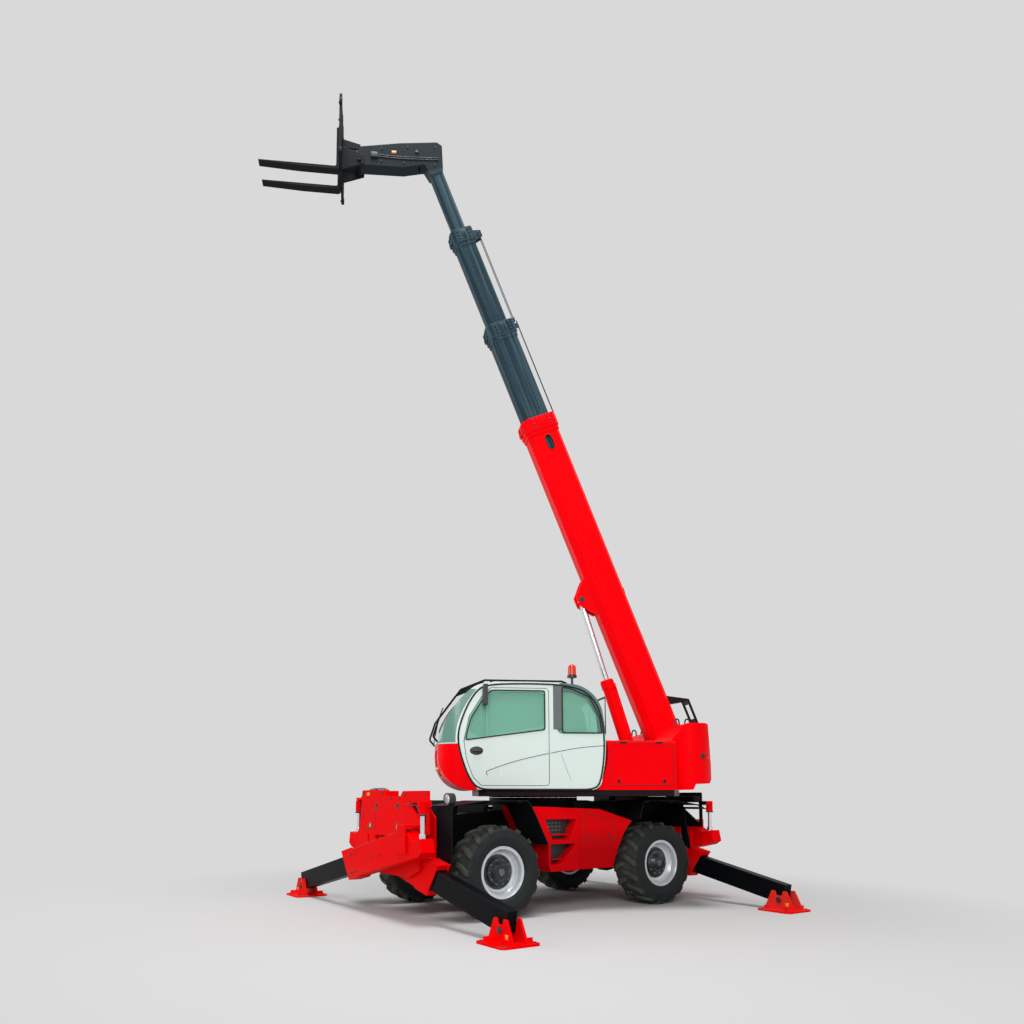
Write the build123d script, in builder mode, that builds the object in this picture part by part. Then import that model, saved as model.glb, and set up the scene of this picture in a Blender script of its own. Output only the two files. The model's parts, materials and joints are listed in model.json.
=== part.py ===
"""Rotating telehandler: carrier on four stabilisers, slewing turret, four-section boom and fork carriage.

Millimetres and degrees.  +X is the carrier's front, +Y its left side and +Z up; the ground is z = 0.
"""
import os
from math import atan2, cos, degrees, hypot, radians, sin

from build123d import *

os.makedirs("parts", exist_ok=True)

# ---------------------------------------------------------------- driving dimensions
wheelbase = 2750
tyre_radius = 577
tyre_width = 450
wheel_y = 995                 # middle of a tyre, from the centre line
rim_radius = 300
kingpin_y = 700

girder_half_width = 400
slew_ring_radius = 640
slew_gap_z = 1500             # top of the carrier's half of the slew ring
turret_floor_z = 1600
fender_top_z = 1462
steer_sweep = 765             # radius about an axle that a steered tyre sweeps
lug_pitches = 16              # chevrons round a tyre
lamp_z = 1130
lashing_y = 300
lashing_z = 1390

inner_beam_x = 2260           # stabiliser beams that cross next to the wheels
outer_beam_x = 2488           # stabiliser beams at the machine's ends
beam_width = 180
beam_pivot_y = 800            # each beam is hinged on the side it does not reach out to
beam_pivot_z = 920
foot_y = 2500
beam_end_z = 230
foot_pin_z = 150
foot_plate = 500
jack_offset_y = 1123          # stabiliser jacks push down on the beams' short ends
jack_barrel_z = 1290
jack_top_z = 1450
jack_rod_z = 1014

slew_turn = 26                # the turret stands this far clockwise from straight ahead
boom_pivot_x = -2040
boom_pivot_z = 2290
boom_lift = 68.6
boom_sections = [             # name, width, height, wall, tail, tip: distances along the boom from its pivot
    ("boom_outer", 380, 490, 12, -180, 5330),
    ("boom_stage_1", 315, 405, 12, 1450, 6930),
    ("boom_stage_2", 240, 310, 10, 2900, 8550),
    ("boom_stage_3", 160, 208, 10, 4300, 9800),
]
collar_length = 200
collar_lip = 24
boss_rise = 6

lift_eye_s = 2490             # lift cylinder's rod eye, along the boom
lift_eye_drop = 390           # and below its axis
lift_pin_x = -1600
lift_pin_z = 1750

carriage_pin_x = 2640
carriage_pin_z = 11260
fork_length = 1200
fork_half_gap = 195           # fork blade's middle from the boom's plane
fork_width = 120
fork_top_z = 11010
carriage_back_x = 2900
fork_face_x = 2940

cab_left_y = 1220
cab_right_y = 270
cab_wall = 45

# ---------------------------------------------------------------- frames of reference
slew_cos, slew_sin = cos(radians(slew_turn)), sin(radians(slew_turn))
fork_tip_x = (fork_face_x + fork_length) * slew_cos + (fork_half_gap + fork_width / 2) * slew_sin
rear_end_x = -outer_beam_x - foot_plate / 2
datum_x = (fork_tip_x + rear_end_x) / 2          # slew axis stands this far behind the origin

carrier = Plane((-datum_x, 0, 0))
turret = Plane(origin=(-datum_x, 0, 0), x_dir=(slew_cos, -slew_sin, 0), z_dir=(0, 0, 1))


def tilted(frame, x, z, angle):
    """Frame whose x axis rises by angle in the side plane of another frame."""
    rise = radians(angle)
    along = frame.x_dir * cos(rise) + frame.z_dir * sin(rise)
    above = frame.z_dir * cos(rise) - frame.x_dir * sin(rise)
    return Plane(origin=frame.from_local_coords((x, 0, z)), x_dir=along, z_dir=above)


boom = tilted(turret, boom_pivot_x, boom_pivot_z, boom_lift)


def seen_from_left(frame, y=0):
    """Sketch plane with x forward and y up; it extrudes to the right."""
    return Plane(origin=frame.from_local_coords((0, y, 0)), x_dir=frame.x_dir, z_dir=-frame.y_dir)


def seen_from_front(frame, x=0):
    """Sketch plane with x to the left and y up; it extrudes forward."""
    return Plane(origin=frame.from_local_coords((x, 0, 0)), x_dir=frame.y_dir, z_dir=frame.x_dir)


def seen_from_top(frame, z=0):
    """Sketch plane with x forward and y to the left; it extrudes upward."""
    return Plane(origin=frame.from_local_coords((0, 0, z)), x_dir=frame.x_dir, z_dir=frame.z_dir)


def plate(view, outline, thickness, rounding=0, mode=Mode.ADD):
    """Plate with the given outline, standing on a sketch plane."""
    with BuildSketch(view) as face:
        with BuildLine():
            Polyline(*outline, close=True)
        make_face()
        if rounding:
            fillet(face.vertices(), rounding)
    extrude(face.sketch, amount=thickness, mode=mode)


def block(x, y, z, mode=Mode.ADD):
    """Box given by its (low, high) limits along each axis of the part's frame."""
    with Locations(((x[0] + x[1]) / 2, (y[0] + y[1]) / 2, (z[0] + z[1]) / 2)):
        Box(x[1] - x[0], y[1] - y[0], z[1] - z[0], mode=mode)


def bent_sheet(view, path, gauge, width, bend, side):
    """Sheet metal folded along a path on a sketch plane, thickened to one side of it."""
    with BuildSketch(view) as strip:
        with BuildLine():
            FilletPolyline(*path, radius=bend)
            offset(amount=gauge, side=side)
        make_face()
    extrude(strip.sketch, amount=width)


def bent_bar(view, path, radius, bend):
    """Round bar bent along a path on a sketch plane."""
    with BuildLine(view, mode=Mode.PRIVATE) as route:
        FilletPolyline(*path, radius=bend)
    with BuildSketch(Plane(origin=route.line @ 0, z_dir=route.line % 0)) as disc:
        Circle(radius)
    sweep(disc.sketch, path=route.line)


def round_bar(frame, start, end, radius, mode=Mode.ADD):
    """Straight round bar between two points of a frame."""
    first, last = frame.from_local_coords(start), frame.from_local_coords(end)
    with BuildSketch(Plane(origin=first, z_dir=last - first)) as disc:
        Circle(radius)
    extrude(disc.sketch, amount=(last - first).length, mode=mode)


def turned(frame, centre, profile):
    """Solid turned about an axis along y; the profile is a list of (y, radius) points."""
    middle = frame.from_local_coords(centre)
    with BuildSketch(Plane(origin=middle, x_dir=frame.y_dir, z_dir=frame.x_dir)) as section:
        with BuildLine():
            Polyline(*profile, close=True)
        make_face()
    revolve(section.sketch, axis=Axis(middle, frame.y_dir))


def save(piece, node):
    """Label a finished piece and write it."""
    piece.part.label = node
    export_step(piece.part, f"parts/{node}.step")


# ---------------------------------------------------------------- carrier
with BuildPart(carrier) as chassis_frame:
    plate(
        seen_from_left(carrier, girder_half_width),
        [(-2000, 850), (-2000, 1240), (-900, 1330), (900, 1330), (2000, 1240),
         (2000, 850), (1000, 850), (760, 560), (-760, 560), (-1000, 850)],
        2 * girder_half_width,
    )
    round_bar(carrier, (0, 0, 1330), (0, 0, slew_gap_z - 45), 600)
    round_bar(carrier, (0, 0, slew_gap_z - 45), (0, 0, slew_gap_z), slew_ring_radius)
    for end in (-1, 1):
        for side in (-1, 1):
            block(sorted((end * 1275, end * 1475)), sorted((side * 270, side * 330)), (690, 860))
        for arm_x in (1080, 1560):
            plate(
                seen_from_front(carrier, min(end * arm_x, end * (arm_x + 70))),
                [(-1190, fender_top_z - 12), (1190, fender_top_z - 12), (1190, fender_top_z - 34), (430, 1390),
                 (385, 1240), (-385, 1240), (-430, 1390), (-1190, fender_top_z - 34)],
                70,
            )
save(chassis_frame, "chassis_frame")

with BuildPart(carrier) as axles:
    for end in (-1, 1):
        axle_x = end * wheelbase / 2
        turned(
            carrier, (axle_x, 0, tyre_radius),
            [(-640, 0), (-640, 95), (-230, 110), (-150, 165), (-60, 190), (60, 190), (150, 165), (230, 110),
             (640, 95), (640, 0)],
        )
        for side in (-1, 1):
            block((axle_x - 100, axle_x + 100), sorted((side * 270, side * 330)), (600, 690))
            yoke = [(side * y, tyre_radius + z) for y, z in
                    ((620, -150), (770, -150), (770, -110), (655, -110),
                     (655, 110), (770, 110), (770, 150), (620, 150))]
            plate(seen_from_front(carrier, axle_x - 80), yoke, 160)
save(axles, "axles")

with BuildPart(carrier) as mudguards:
    for end in (-1, 1):
        for side in (-1, 1):
            inner_end = [(690, 900), (900, 1300)] if end > 0 else [(935, 1215)]
            skirt = [(end * x, z) for x, z in
                     inner_end + [(1000, fender_top_z), (1650, fender_top_z), (2150, 1400)]]
            bent_sheet(
                seen_from_left(carrier, 1225 if side > 0 else -690), skirt, 12, 535, 60,
                Side.RIGHT if end > 0 else Side.LEFT,
            )
            low_y = 1225 if end > 0 else 1040
            high_y = 1225 if end > 0 else 920
            plate(
                seen_from_front(carrier, 2138 if end > 0 else -2150),
                [(side * 870, 760), (side * low_y, 760), (side * high_y, 1392), (side * 870, 1392)],
                12,
            )
save(mudguards, "mudguards")

side_box_outline = [(-575, 540), (565, 540), (590, 620), (600, 900), (820, 1300), (850, 1385), (-290, 1345),
                    (-890, 1180), (-890, 540)]
upper_step = [(650, 1220), (110, 1215), (240, 945), (530, 945)]
lower_step = [(560, 895), (130, 893), (380, 630), (560, 625)]
for side, node in ((1, "side_box_left"), (-1, "side_box_right")):
    with BuildPart(carrier) as side_box:
        left_face = 1100 if side > 0 else -girder_half_width
        plate(seen_from_left(carrier, left_face), side_box_outline, 1100 - girder_half_width)
        round_bar(carrier, (0, 0, 1320), (0, 0, 1400), 610, mode=Mode.SUBTRACT)
        round_bar(carrier, (-wheelbase / 2, side * 390, tyre_radius), (-wheelbase / 2, side * 1110, tyre_radius),
                  steer_sweep, mode=Mode.SUBTRACT)
        # The flank breaks at a crease and leans in below it.
        lean_from, lean_to = (-900, 90) if side > 0 else (-900, 900)
        plate(
            seen_from_front(carrier, lean_from),
            [(side * 1101, 890), (side * 1120, 890), (side * 1120, 500), (side * 1010, 500)],
            lean_to - lean_from, mode=Mode.SUBTRACT,
        )
        if side > 0:
            for step, tread in ((upper_step, 1010), (lower_step, 690)):
                plate(seen_from_left(carrier, 1110), step, 150, rounding=15, mode=Mode.SUBTRACT)
                with Locations((330, 1000, tread)):
                    Box(330, 60, 18)
        else:
            round_bar(carrier, (500, -1090, 1180), (500, -1140, 1180), 55)
    save(side_box, node)

module_face = [(-830, 620), (-830, 1020), (-740, 1600), (-60, 1600), (-40, 1520), (380, 1520), (440, 1580),
               (1075, 1580), (1075, 1060), (860, 1000), (860, 620), (600, 520), (-600, 520)]
module_back = [(-860, 620), (-860, 1240), (-600, 1460), (600, 1460), (860, 1240), (860, 620), (600, 520), (-600, 520)]
brace_opening = [(600, 1430), (1035, 1430), (1035, 1110)]
for end, node in ((1, "front_module"), (-1, "rear_module")):
    with BuildPart(carrier) as module:
        block(sorted((end * 2000, end * 2140)), (-400, 400), (850, 1240))
        plate(seen_from_front(carrier, 2140 if end > 0 else -2162), module_back, 22)
        face_plane = seen_from_front(carrier, 2358 if end > 0 else -2390)
        with BuildSketch(face_plane) as face:
            with BuildLine():
                Polyline(*module_face, close=True)
            make_face()
            fillet(face.vertices(), 14)
            with BuildLine():
                FilletPolyline(*brace_opening, radius=18, close=True)
            make_face(mode=Mode.SUBTRACT)
            with Locations((-60, 975)):
                SlotOverall(560, 62, mode=Mode.SUBTRACT)
            with Locations((-540, 955)):
                SlotOverall(130, 50, rotation=90, mode=Mode.SUBTRACT)
            with Locations((-490, lamp_z), (290, lamp_z)):
                Circle(34, mode=Mode.SUBTRACT)
            with Locations((-lashing_y, lashing_z), (lashing_y, lashing_z)):
                Circle(25, mode=Mode.SUBTRACT)
        extrude(face.sketch, amount=32)
        block(sorted((end * 2162, end * 2358)), (-700, 700), (1440, 1460))
        block(sorted((end * 2170, end * 2358)), (-715, -80), (1460, 1588))
        for beam_x, side in ((inner_beam_x, 1), (outer_beam_x, -1)):
            pivot_y = -side * beam_pivot_y
            round_bar(carrier, (end * (beam_x - beam_width / 2 - 20), pivot_y, beam_pivot_z),
                      (end * (beam_x + beam_width / 2 + 30), pivot_y, beam_pivot_z), 38)
        inner_arm_y = (-jack_offset_y - 30, -690)
        block(sorted((end * (inner_beam_x - 30), end * (inner_beam_x + 30))), inner_arm_y, (1465, 1500))
        block(sorted((end * (inner_beam_x - 30), end * (inner_beam_x + 30))), (-jack_offset_y - 30, -jack_offset_y + 30),
              (jack_top_z - 10, 1480))
        block(sorted((end * 2380, end * (outer_beam_x + 30))), (jack_offset_y - 80, jack_offset_y + 30),
              (jack_top_z - 60, jack_top_z))
        for beam_x, jack_y in ((inner_beam_x, -jack_offset_y), (outer_beam_x, jack_offset_y)):
            round_bar(carrier, (end * beam_x, jack_y, jack_barrel_z), (end * beam_x, jack_y, jack_top_z), 48)
            round_bar(carrier, (end * beam_x, jack_y, jack_barrel_z), (end * beam_x, jack_y, jack_top_z - 15), 29,
                      mode=Mode.SUBTRACT)
        # Clevis cheek that carries the free end of the outer beam's hinge pin.
        cheek_x = outer_beam_x + beam_width / 2 + 8
        block(sorted((end * cheek_x, end * (cheek_x + 22))), (700, 900), (830, 1170))
        block(sorted((end * 2385, end * (cheek_x + 22))), (700, 900), (1140, 1170))
    save(module, node)

with BuildPart(carrier) as lamps:
    for side in (-1, 1):
        round_bar(carrier, (2085, side * 1150, 1478), (2160, side * 1150, 1478), 62)
        round_bar(carrier, (2160, side * 1150, 1478), (2170, side * 1150, 1478), 68)
        block((2105, 2135), (side * 1150 - 20, side * 1150 + 20), (1408, 1425))
    for end in (-1, 1):
        for lamp_y in (-490, 290):
            round_bar(carrier, (end * 2370, lamp_y, lamp_z), (end * 2389, lamp_y, lamp_z), 33)
save(lamps, "lamps")

# ---------------------------------------------------------------- wheels and knuckles
carcass_profile = [(-165, 300), (-165, 322), (-215, 380), (-225, 450), (-218, 505), (-190, 538),
                   (190, 538), (218, 505), (225, 450), (215, 380), (165, 322), (165, 300)]
tread_profile = [(-190, 520), (-225, 480), (-222, 520), (-212, 556), (-190, 577),
                 (190, 577), (212, 556), (222, 520), (225, 480), (190, 520)]
lug_outline = [(-32, -6), (30, -6), (62, 70), (158, 232), (70, 232), (-4, 100)]

with BuildPart() as tread_lug:
    turned(Plane.XY, (0, 0, 0), tread_profile)
    plate(Plane.XY.offset(450), lug_outline, 150, mode=Mode.INTERSECT)

with BuildPart() as tyre_blank:
    turned(Plane.XY, (0, 0, 0), carcass_profile)
    for half in (0, 1):
        # The two halves of the chevron are mirror images, set half a pitch apart.
        lug = tread_lug.part if half else mirror(tread_lug.part, about=Plane.XZ, mode=Mode.PRIVATE)
        for step in range(lug_pitches):
            add(lug.rotate(Axis.Y, (step + half / 2) * 360 / lug_pitches))

wheels = [                    # name, end, side
    ("front_left", 1, 1),
    ("front_right", 1, -1),
    ("rear_left", -1, 1),
    ("rear_right", -1, -1),
]
for name, end, side in wheels:
    axle_x = end * wheelbase / 2
    centre = (axle_x, side * wheel_y, tyre_radius)

    with BuildPart(carrier) as knuckle:
        round_bar(carrier, (axle_x, side * kingpin_y, tyre_radius - 105),
                  (axle_x, side * kingpin_y, tyre_radius + 105), 40)
        turned(carrier, (axle_x, 0, tyre_radius),
               [(side * y, r) for y, r in ((705, 0), (705, 88), (760, 88), (800, 70), (955, 70), (955, 0))])
    save(knuckle, f"knuckle_{name}")

    with BuildPart(carrier) as tyre:
        with Locations(Location(centre, (0, 0, 0 if side > 0 else 180))):
            add(tyre_blank.part)
    save(tyre, f"tyre_{name}")

    with BuildPart(carrier) as rim:
        rim_profile = [(-178, 288), (-178, 320), (-165, 320), (-165, 300), (165, 300), (165, 320), (178, 320),
                       (178, 286), (120, 276), (84, 250), (62, 205), (66, 180), (100, 172), (104, 132), (122, 118),
                       (150, 96), (154, 0), (-35, 0), (-35, 130), (30, 150), (40, 215), (72, 276), (-120, 276)]
        turned(carrier, centre, [(side * y, r) for y, r in rim_profile])
    save(rim, f"rim_{name}")

# ---------------------------------------------------------------- stabilisers
beam_droop = degrees(atan2(beam_pivot_z - beam_end_z, foot_y + beam_pivot_y))
beam_reach = hypot(beam_pivot_z - beam_end_z, foot_y + beam_pivot_y)
droop_cos, droop_sin = cos(radians(beam_droop)), sin(radians(beam_droop))
stabilisers = [               # name, x of the beam, side it reaches out to, length of its housing
    ("front_left", inner_beam_x, 1, 2040),
    ("front_right", outer_beam_x, -1, 1800),
    ("rear_left", -inner_beam_x, 1, 2040),
    ("rear_right", -outer_beam_x, -1, 1800),
]
for name, beam_x, side, housing_length in stabilisers:
    pivot_y = -side * beam_pivot_y
    beam = Plane(
        origin=carrier.from_local_coords((beam_x, pivot_y, beam_pivot_z)),
        x_dir=(0, side * droop_cos, -droop_sin),
        z_dir=(0, side * droop_sin, droop_cos),
    )
    half = beam_width / 2
    side_view = Plane(origin=beam.from_local_coords((0, -half, 0)), x_dir=beam.x_dir, z_dir=-beam.y_dir)

    with BuildPart(beam) as outer:
        plate(
            side_view,
            [(-430, -150), (-430, 10), (-260, 10), (-60, 185), (housing_length - 330, 185),
             (housing_length - 300, 212), (housing_length, 212), (housing_length - 185, -205),
             (housing_length - 480, -205), (housing_length - 510, -185), (-330, -185)],
            -beam_width,
        )
        block((40, housing_length + 10), (-half + 14, half - 14), (-142, 142), mode=Mode.SUBTRACT)
        round_bar(beam, (0, -half - 5, 0), (0, half + 5, 0), 40, mode=Mode.SUBTRACT)
    save(outer, f"stabiliser_housing_{name}")

    with BuildPart(beam) as inner:
        inner_view = Plane(origin=beam.from_local_coords((0, 24 - half, 0)), x_dir=beam.x_dir, z_dir=-beam.y_dir)
        plate(
            inner_view,
            [(1250, -130), (beam_reach - 40, -130), (beam_reach + 60, -100), (beam_reach + 60, 130), (1250, 130)],
            48 - beam_width,
        )
        round_bar(carrier, (beam_x - 104, side * foot_y, foot_pin_z), (beam_x + 104, side * foot_y, foot_pin_z), 25)
    save(inner, f"stabiliser_beam_{name}")

    with BuildPart(carrier) as foot:
        plate_half = foot_plate / 2
        with Locations((beam_x, side * foot_y, 12.5)):
            Box(foot_plate, foot_plate, 25)
        fillet(foot.edges().filter_by(Axis.Z), 60)
        for cheek in (-1, 1):
            plate(
                seen_from_front(carrier, beam_x + cheek * 86 - 14),
                [(side * foot_y + y, z) for y, z in
                 ((-225, 25), (225, 25), (110, 265), (62, 265), (48, 205), (-48, 205), (-62, 265), (-110, 265))],
                28,
            )
            for web_y in (-150, 150):
                block(sorted((beam_x + cheek * 100, beam_x + cheek * 200)),
                      (side * foot_y + web_y - 9, side * foot_y + web_y + 9), (25, 75))
        round_bar(carrier, (beam_x - 105, side * foot_y, foot_pin_z), (beam_x + 105, side * foot_y, foot_pin_z), 26,
                  mode=Mode.SUBTRACT)
    save(foot, f"stabiliser_foot_{name}")

    with BuildPart(carrier) as jack_rod:
        round_bar(carrier, (beam_x, -side * jack_offset_y, jack_rod_z), (beam_x, -side * jack_offset_y, jack_top_z - 18),
                  28)
        round_bar(carrier, (beam_x, -side * jack_offset_y, jack_rod_z), (beam_x, -side * jack_offset_y, jack_rod_z + 55),
                  42)
    save(jack_rod, f"stabiliser_jack_rod_{name}")

# ---------------------------------------------------------------- turret
with BuildPart(turret) as turret_base:
    round_bar(turret, (0, 0, slew_gap_z + 5), (0, 0, turret_floor_z), slew_ring_radius)
    plate(
        seen_from_top(turret, slew_gap_z + 20),
        [(-1950, -700), (-1750, -1100), (500, -1150), (700, -900), (700, 260), (950, 400), (950, 1100),
         (850, 1180), (-1700, 1150), (-1950, 700)],
        turret_floor_z - slew_gap_z - 20, rounding=60,
    )
    for inner_face in (240, -200):
        plate(
            seen_from_left(turret, inner_face),
            [(-1250, 1590), (-1400, 1900), (-1880, 2420), (-2040, 2460), (-2190, 2400), (-2240, 2200), (-2240, 1640),
             (-1900, 1590)],
            40, rounding=45,
        )
    for outer_face in (262, -240):
        round_bar(turret, (boom_pivot_x, outer_face, boom_pivot_z), (boom_pivot_x, outer_face - 22, boom_pivot_z), 110)
    round_bar(turret, (boom_pivot_x, -240, boom_pivot_z), (boom_pivot_x, 240, boom_pivot_z), 48)
    round_bar(turret, (lift_pin_x, -240, lift_pin_z), (lift_pin_x, 240, lift_pin_z), 38)
save(turret_base, "turret_base")

with BuildPart() as counterweight:
    # The casting's side view, with its bulging foot, trimmed to the rounded plan of the tail.
    with BuildSketch(seen_from_left(turret, 1180)) as casting_side:
        with BuildLine():
            FilletPolyline(
                (-1750, turret_floor_z), (-1750, 2290), (-1880, 2510), (-2215, 2510), (-2262, 2010), (-2310, 1940),
                (-2310, 1790), (-2220, 1690), (-2000, 1690), (-1960, turret_floor_z + 5),
                radius=[8, 60, 90, 40, 30, 60, 70, 30, 10, 8], close=True,
            )
        make_face()
    extrude(casting_side.sketch, amount=2360)
    with BuildSketch(seen_from_top(turret, turret_floor_z - 10)) as casting_plan:
        with BuildLine():
            Polyline((-2310, -1180), (-2310, 1180), (-1750, 1180), (-1750, -1180), close=True)
        make_face()
        fillet(casting_plan.vertices().sort_by(Axis(turret.origin, turret.x_dir))[:2], 280)
    extrude(casting_plan.sketch, amount=1000, mode=Mode.INTERSECT)
    plate(seen_from_left(turret, 265), [(-2262, 1590), (-2262, 1860), (-2400, 1860), (-2400, 2600), (-1700, 2600),
                                        (-1700, 1590)], 530, mode=Mode.SUBTRACT)
save(counterweight, "counterweight")

with BuildPart(turret) as deck_panel:
    with BuildSketch(seen_from_left(turret, 1170)) as flank:
        with BuildLine():
            Polyline((-630, turret_floor_z), (-1735, turret_floor_z), (-1735, 2265), (-775, 2265))
            ThreePointArc((-775, 2265), (-765, 1900), (-630, turret_floor_z))
        make_face()
    extrude(flank.sketch, amount=900)
    deck_rim = deck_panel.edges().filter_by_position(Axis.Z, 2264, 2266)
    fillet(deck_rim.sort_by(Axis(turret.origin, turret.y_dir))[-1], 45)
save(deck_panel, "deck_panel")

with BuildPart(turret) as engine_hood:
    hood_outline = [(-1745, 1600), (-1745, 2330), (200, 2330), (600, 2100), (650, 1980), (650, 1600)]
    hood_inside = [(-1720, 1590), (-1720, 2305), (194, 2305), (583, 2082), (625, 1975), (625, 1590)]
    plate(seen_from_left(turret, -270), hood_outline, 920)
    plate(seen_from_left(turret, -295), hood_inside, 870, mode=Mode.SUBTRACT)
    for row in range(9):
        louvre_z = 1800 + 48 * row
        block((-1500, -1000), (-1200, -1150), (louvre_z, louvre_z + 18), mode=Mode.SUBTRACT)
        block((-300, 100), (-1200, -1150), (louvre_z, louvre_z + 18), mode=Mode.SUBTRACT)
save(engine_hood, "engine_hood")

with BuildPart(turret) as engine_block:
    block((-1450, -150), (-1030, -460), (1600, 2180))
save(engine_block, "engine_block")

# ---------------------------------------------------------------- cab
door_outline = [(20, 1650), (930, 1650), (1040, 1765), (1125, 2000), (1160, 2240), (1090, 2560), (900, 2860),
                (800, 2945), (20, 2945)]
door_window = [(85, 2440), (940, 2290), (1085, 2345), (1040, 2550), (865, 2815), (780, 2885), (85, 2885)]
door_bar = [(842, 2200), (866, 2200), (866, 2845), (842, 2845)]
rear_window = [(-90, 2340), (-90, 2900), (-290, 2900), (-500, 2810), (-625, 2590), (-650, 2340)]
nose_region = [(955, 1580), (1075, 1730), (1165, 1950), (1225, 2200), (1600, 2200), (1600, 1580)]
door_rounding = 55
window_rounding = 60


def cab_volume(inset):
    """Cab body drawn in by an inset: the curved side outline trimmed by the rounded plan."""
    with BuildPart() as volume:
        with BuildSketch(seen_from_left(turret, cab_left_y - inset)):
            with BuildLine():
                Line((-560, 1600), (960, 1600))
                ThreePointArc((960, 1600), (1345, 1715), (1478, 2010))
                ThreePointArc((1478, 2010), (1395, 2490), (1090, 2900))
                ThreePointArc((1090, 2900), (975, 2975), (830, 3010))
                ThreePointArc((830, 3010), (270, 3028), (-270, 3010))
                ThreePointArc((-270, 3010), (-575, 2880), (-715, 2580))
                ThreePointArc((-715, 2580), (-745, 2170), (-690, 1760))
                ThreePointArc((-690, 1760), (-645, 1640), (-560, 1600))
            make_face()
            if inset:
                offset(amount=-inset)
        extrude(amount=cab_left_y - cab_right_y - 2 * inset)
        with BuildSketch(seen_from_top(turret, turret_floor_z - 10)) as plan:
            with BuildLine():
                Polyline(
                    (-800, cab_right_y + inset), (1500 - inset, cab_right_y + inset),
                    (1500 - inset, cab_left_y - inset), (-800, cab_left_y - inset), close=True,
                )
            make_face()
            fillet(plan.vertices().sort_by(Axis(turret.origin, turret.x_dir))[-2:], 290 - inset)
        extrude(amount=1500, mode=Mode.INTERSECT)
    return volume.part


middle_y = [cab_right_y + 85, cab_left_y - 85]


def windscreen_opening(margin):
    """Prism through the cab's front, seen from ahead, smaller by a margin all round."""
    low, high = 2235 + margin, 2860 - margin
    right, left = middle_y[0] + margin, middle_y[1] - margin
    with BuildPart() as prism:
        plate(seen_from_front(turret, 700), [(right, low), (left, low), (left, high), (right, high)], 900,
              rounding=70 - margin)
    return prism.part


with BuildPart() as cab_shell:
    add(cab_volume(0))
    add(cab_volume(cab_wall), mode=Mode.SUBTRACT)
    left_cut = seen_from_left(turret, cab_left_y + 10)
    right_cut = seen_from_left(turret, cab_right_y + 60)
    plate(left_cut, door_outline, cab_wall + 20, rounding=door_rounding, mode=Mode.SUBTRACT)
    plate(left_cut, rear_window, cab_wall + 20, rounding=window_rounding, mode=Mode.SUBTRACT)
    plate(right_cut, [(-500, 2330), (1000, 2330), (1000, 2880), (-500, 2880)], 70, rounding=window_rounding,
          mode=Mode.SUBTRACT)
    plate(left_cut, nose_region, cab_left_y - cab_right_y + 20, mode=Mode.SUBTRACT)
    add(windscreen_opening(0), mode=Mode.SUBTRACT)
    rear_pane = [(middle_y[0], 2330), (middle_y[1], 2330), (middle_y[1], 2850), (middle_y[0], 2850)]
    plate(seen_from_front(turret, -800), rear_pane, 200, rounding=window_rounding, mode=Mode.SUBTRACT)
    roof_pane = [(100, middle_y[0]), (800, middle_y[0]), (800, middle_y[1]), (100, middle_y[1])]
    plate(seen_from_top(turret, 2950), roof_pane, 100, rounding=window_rounding, mode=Mode.SUBTRACT)
save(cab_shell, "cab_shell")

with BuildPart() as nose_pocket:
    add(cab_volume(0))
    add(cab_volume(14), mode=Mode.SUBTRACT)
    plate(seen_from_front(turret, 1200), [(540, 1790), (950, 1790), (905, 2130), (585, 2130)], 400, rounding=40,
          mode=Mode.INTERSECT)

with BuildPart() as cab_nose:
    add(cab_volume(0))
    add(cab_volume(cab_wall), mode=Mode.SUBTRACT)
    plate(seen_from_left(turret, cab_left_y + 10), [(x + 4, z - 4) for x, z in nose_region],
          cab_left_y - cab_right_y + 20, mode=Mode.INTERSECT)
    add(nose_pocket.part, mode=Mode.SUBTRACT)
save(cab_nose, "cab_nose")

with BuildPart(turret) as cab_door:
    with BuildSketch(seen_from_left(turret, cab_left_y)) as door_face:
        with BuildLine():
            Polyline(*door_outline, close=True)
        make_face()
        fillet(door_face.vertices(), door_rounding)
        offset(amount=-7, kind=Kind.INTERSECTION)
        with BuildLine():
            FilletPolyline(*door_window, radius=window_rounding, close=True)
        make_face(mode=Mode.SUBTRACT)
    extrude(amount=38)
    plate(seen_from_left(turret, cab_left_y), door_bar, 12)
    round_bar(turret, (940, cab_left_y + 14, 2105), (1030, cab_left_y + 14, 2105), 12)
    for grip_x in (945, 1025):
        round_bar(turret, (grip_x, cab_left_y - 5, 2105), (grip_x, cab_left_y + 14, 2105), 9)
save(cab_door, "cab_door")

with BuildPart(turret) as door_glass:
    plate(seen_from_left(turret, cab_left_y - 14), door_window, 6, rounding=window_rounding)
save(door_glass, "door_glass")

with BuildPart() as cab_glass:
    add(cab_volume(14))
    add(cab_volume(20), mode=Mode.SUBTRACT)
    add(windscreen_opening(1), mode=Mode.INTERSECT)
    plate(seen_from_left(turret, cab_left_y - 14), rear_window, 6, rounding=window_rounding)
    plate(seen_from_left(turret, cab_right_y + 24), [(-500, 2330), (1000, 2330), (1000, 2880), (-500, 2880)], 6,
          rounding=window_rounding)
save(cab_glass, "cab_glass")

with BuildPart(turret) as cab_interior:
    block((-150, 350), (480, 1000), (1645, 2050))
    plate(seen_from_left(turret, 1010), [(-240, 2050), (450, 2050), (450, 2150), (380, 2185), (-120, 2170),
                                         (-170, 2740), (-290, 2750), (-290, 2640)], 520, rounding=25)
    plate(seen_from_left(turret, 880), [(780, 1645), (980, 1645), (900, 2290), (830, 2300)], 280, rounding=15)
    with Locations(Location((800, 740, 2240), (0, -25, 0))):
        Torus(175, 15)
        Box(350, 34, 16)
save(cab_interior, "cab_interior")

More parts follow.
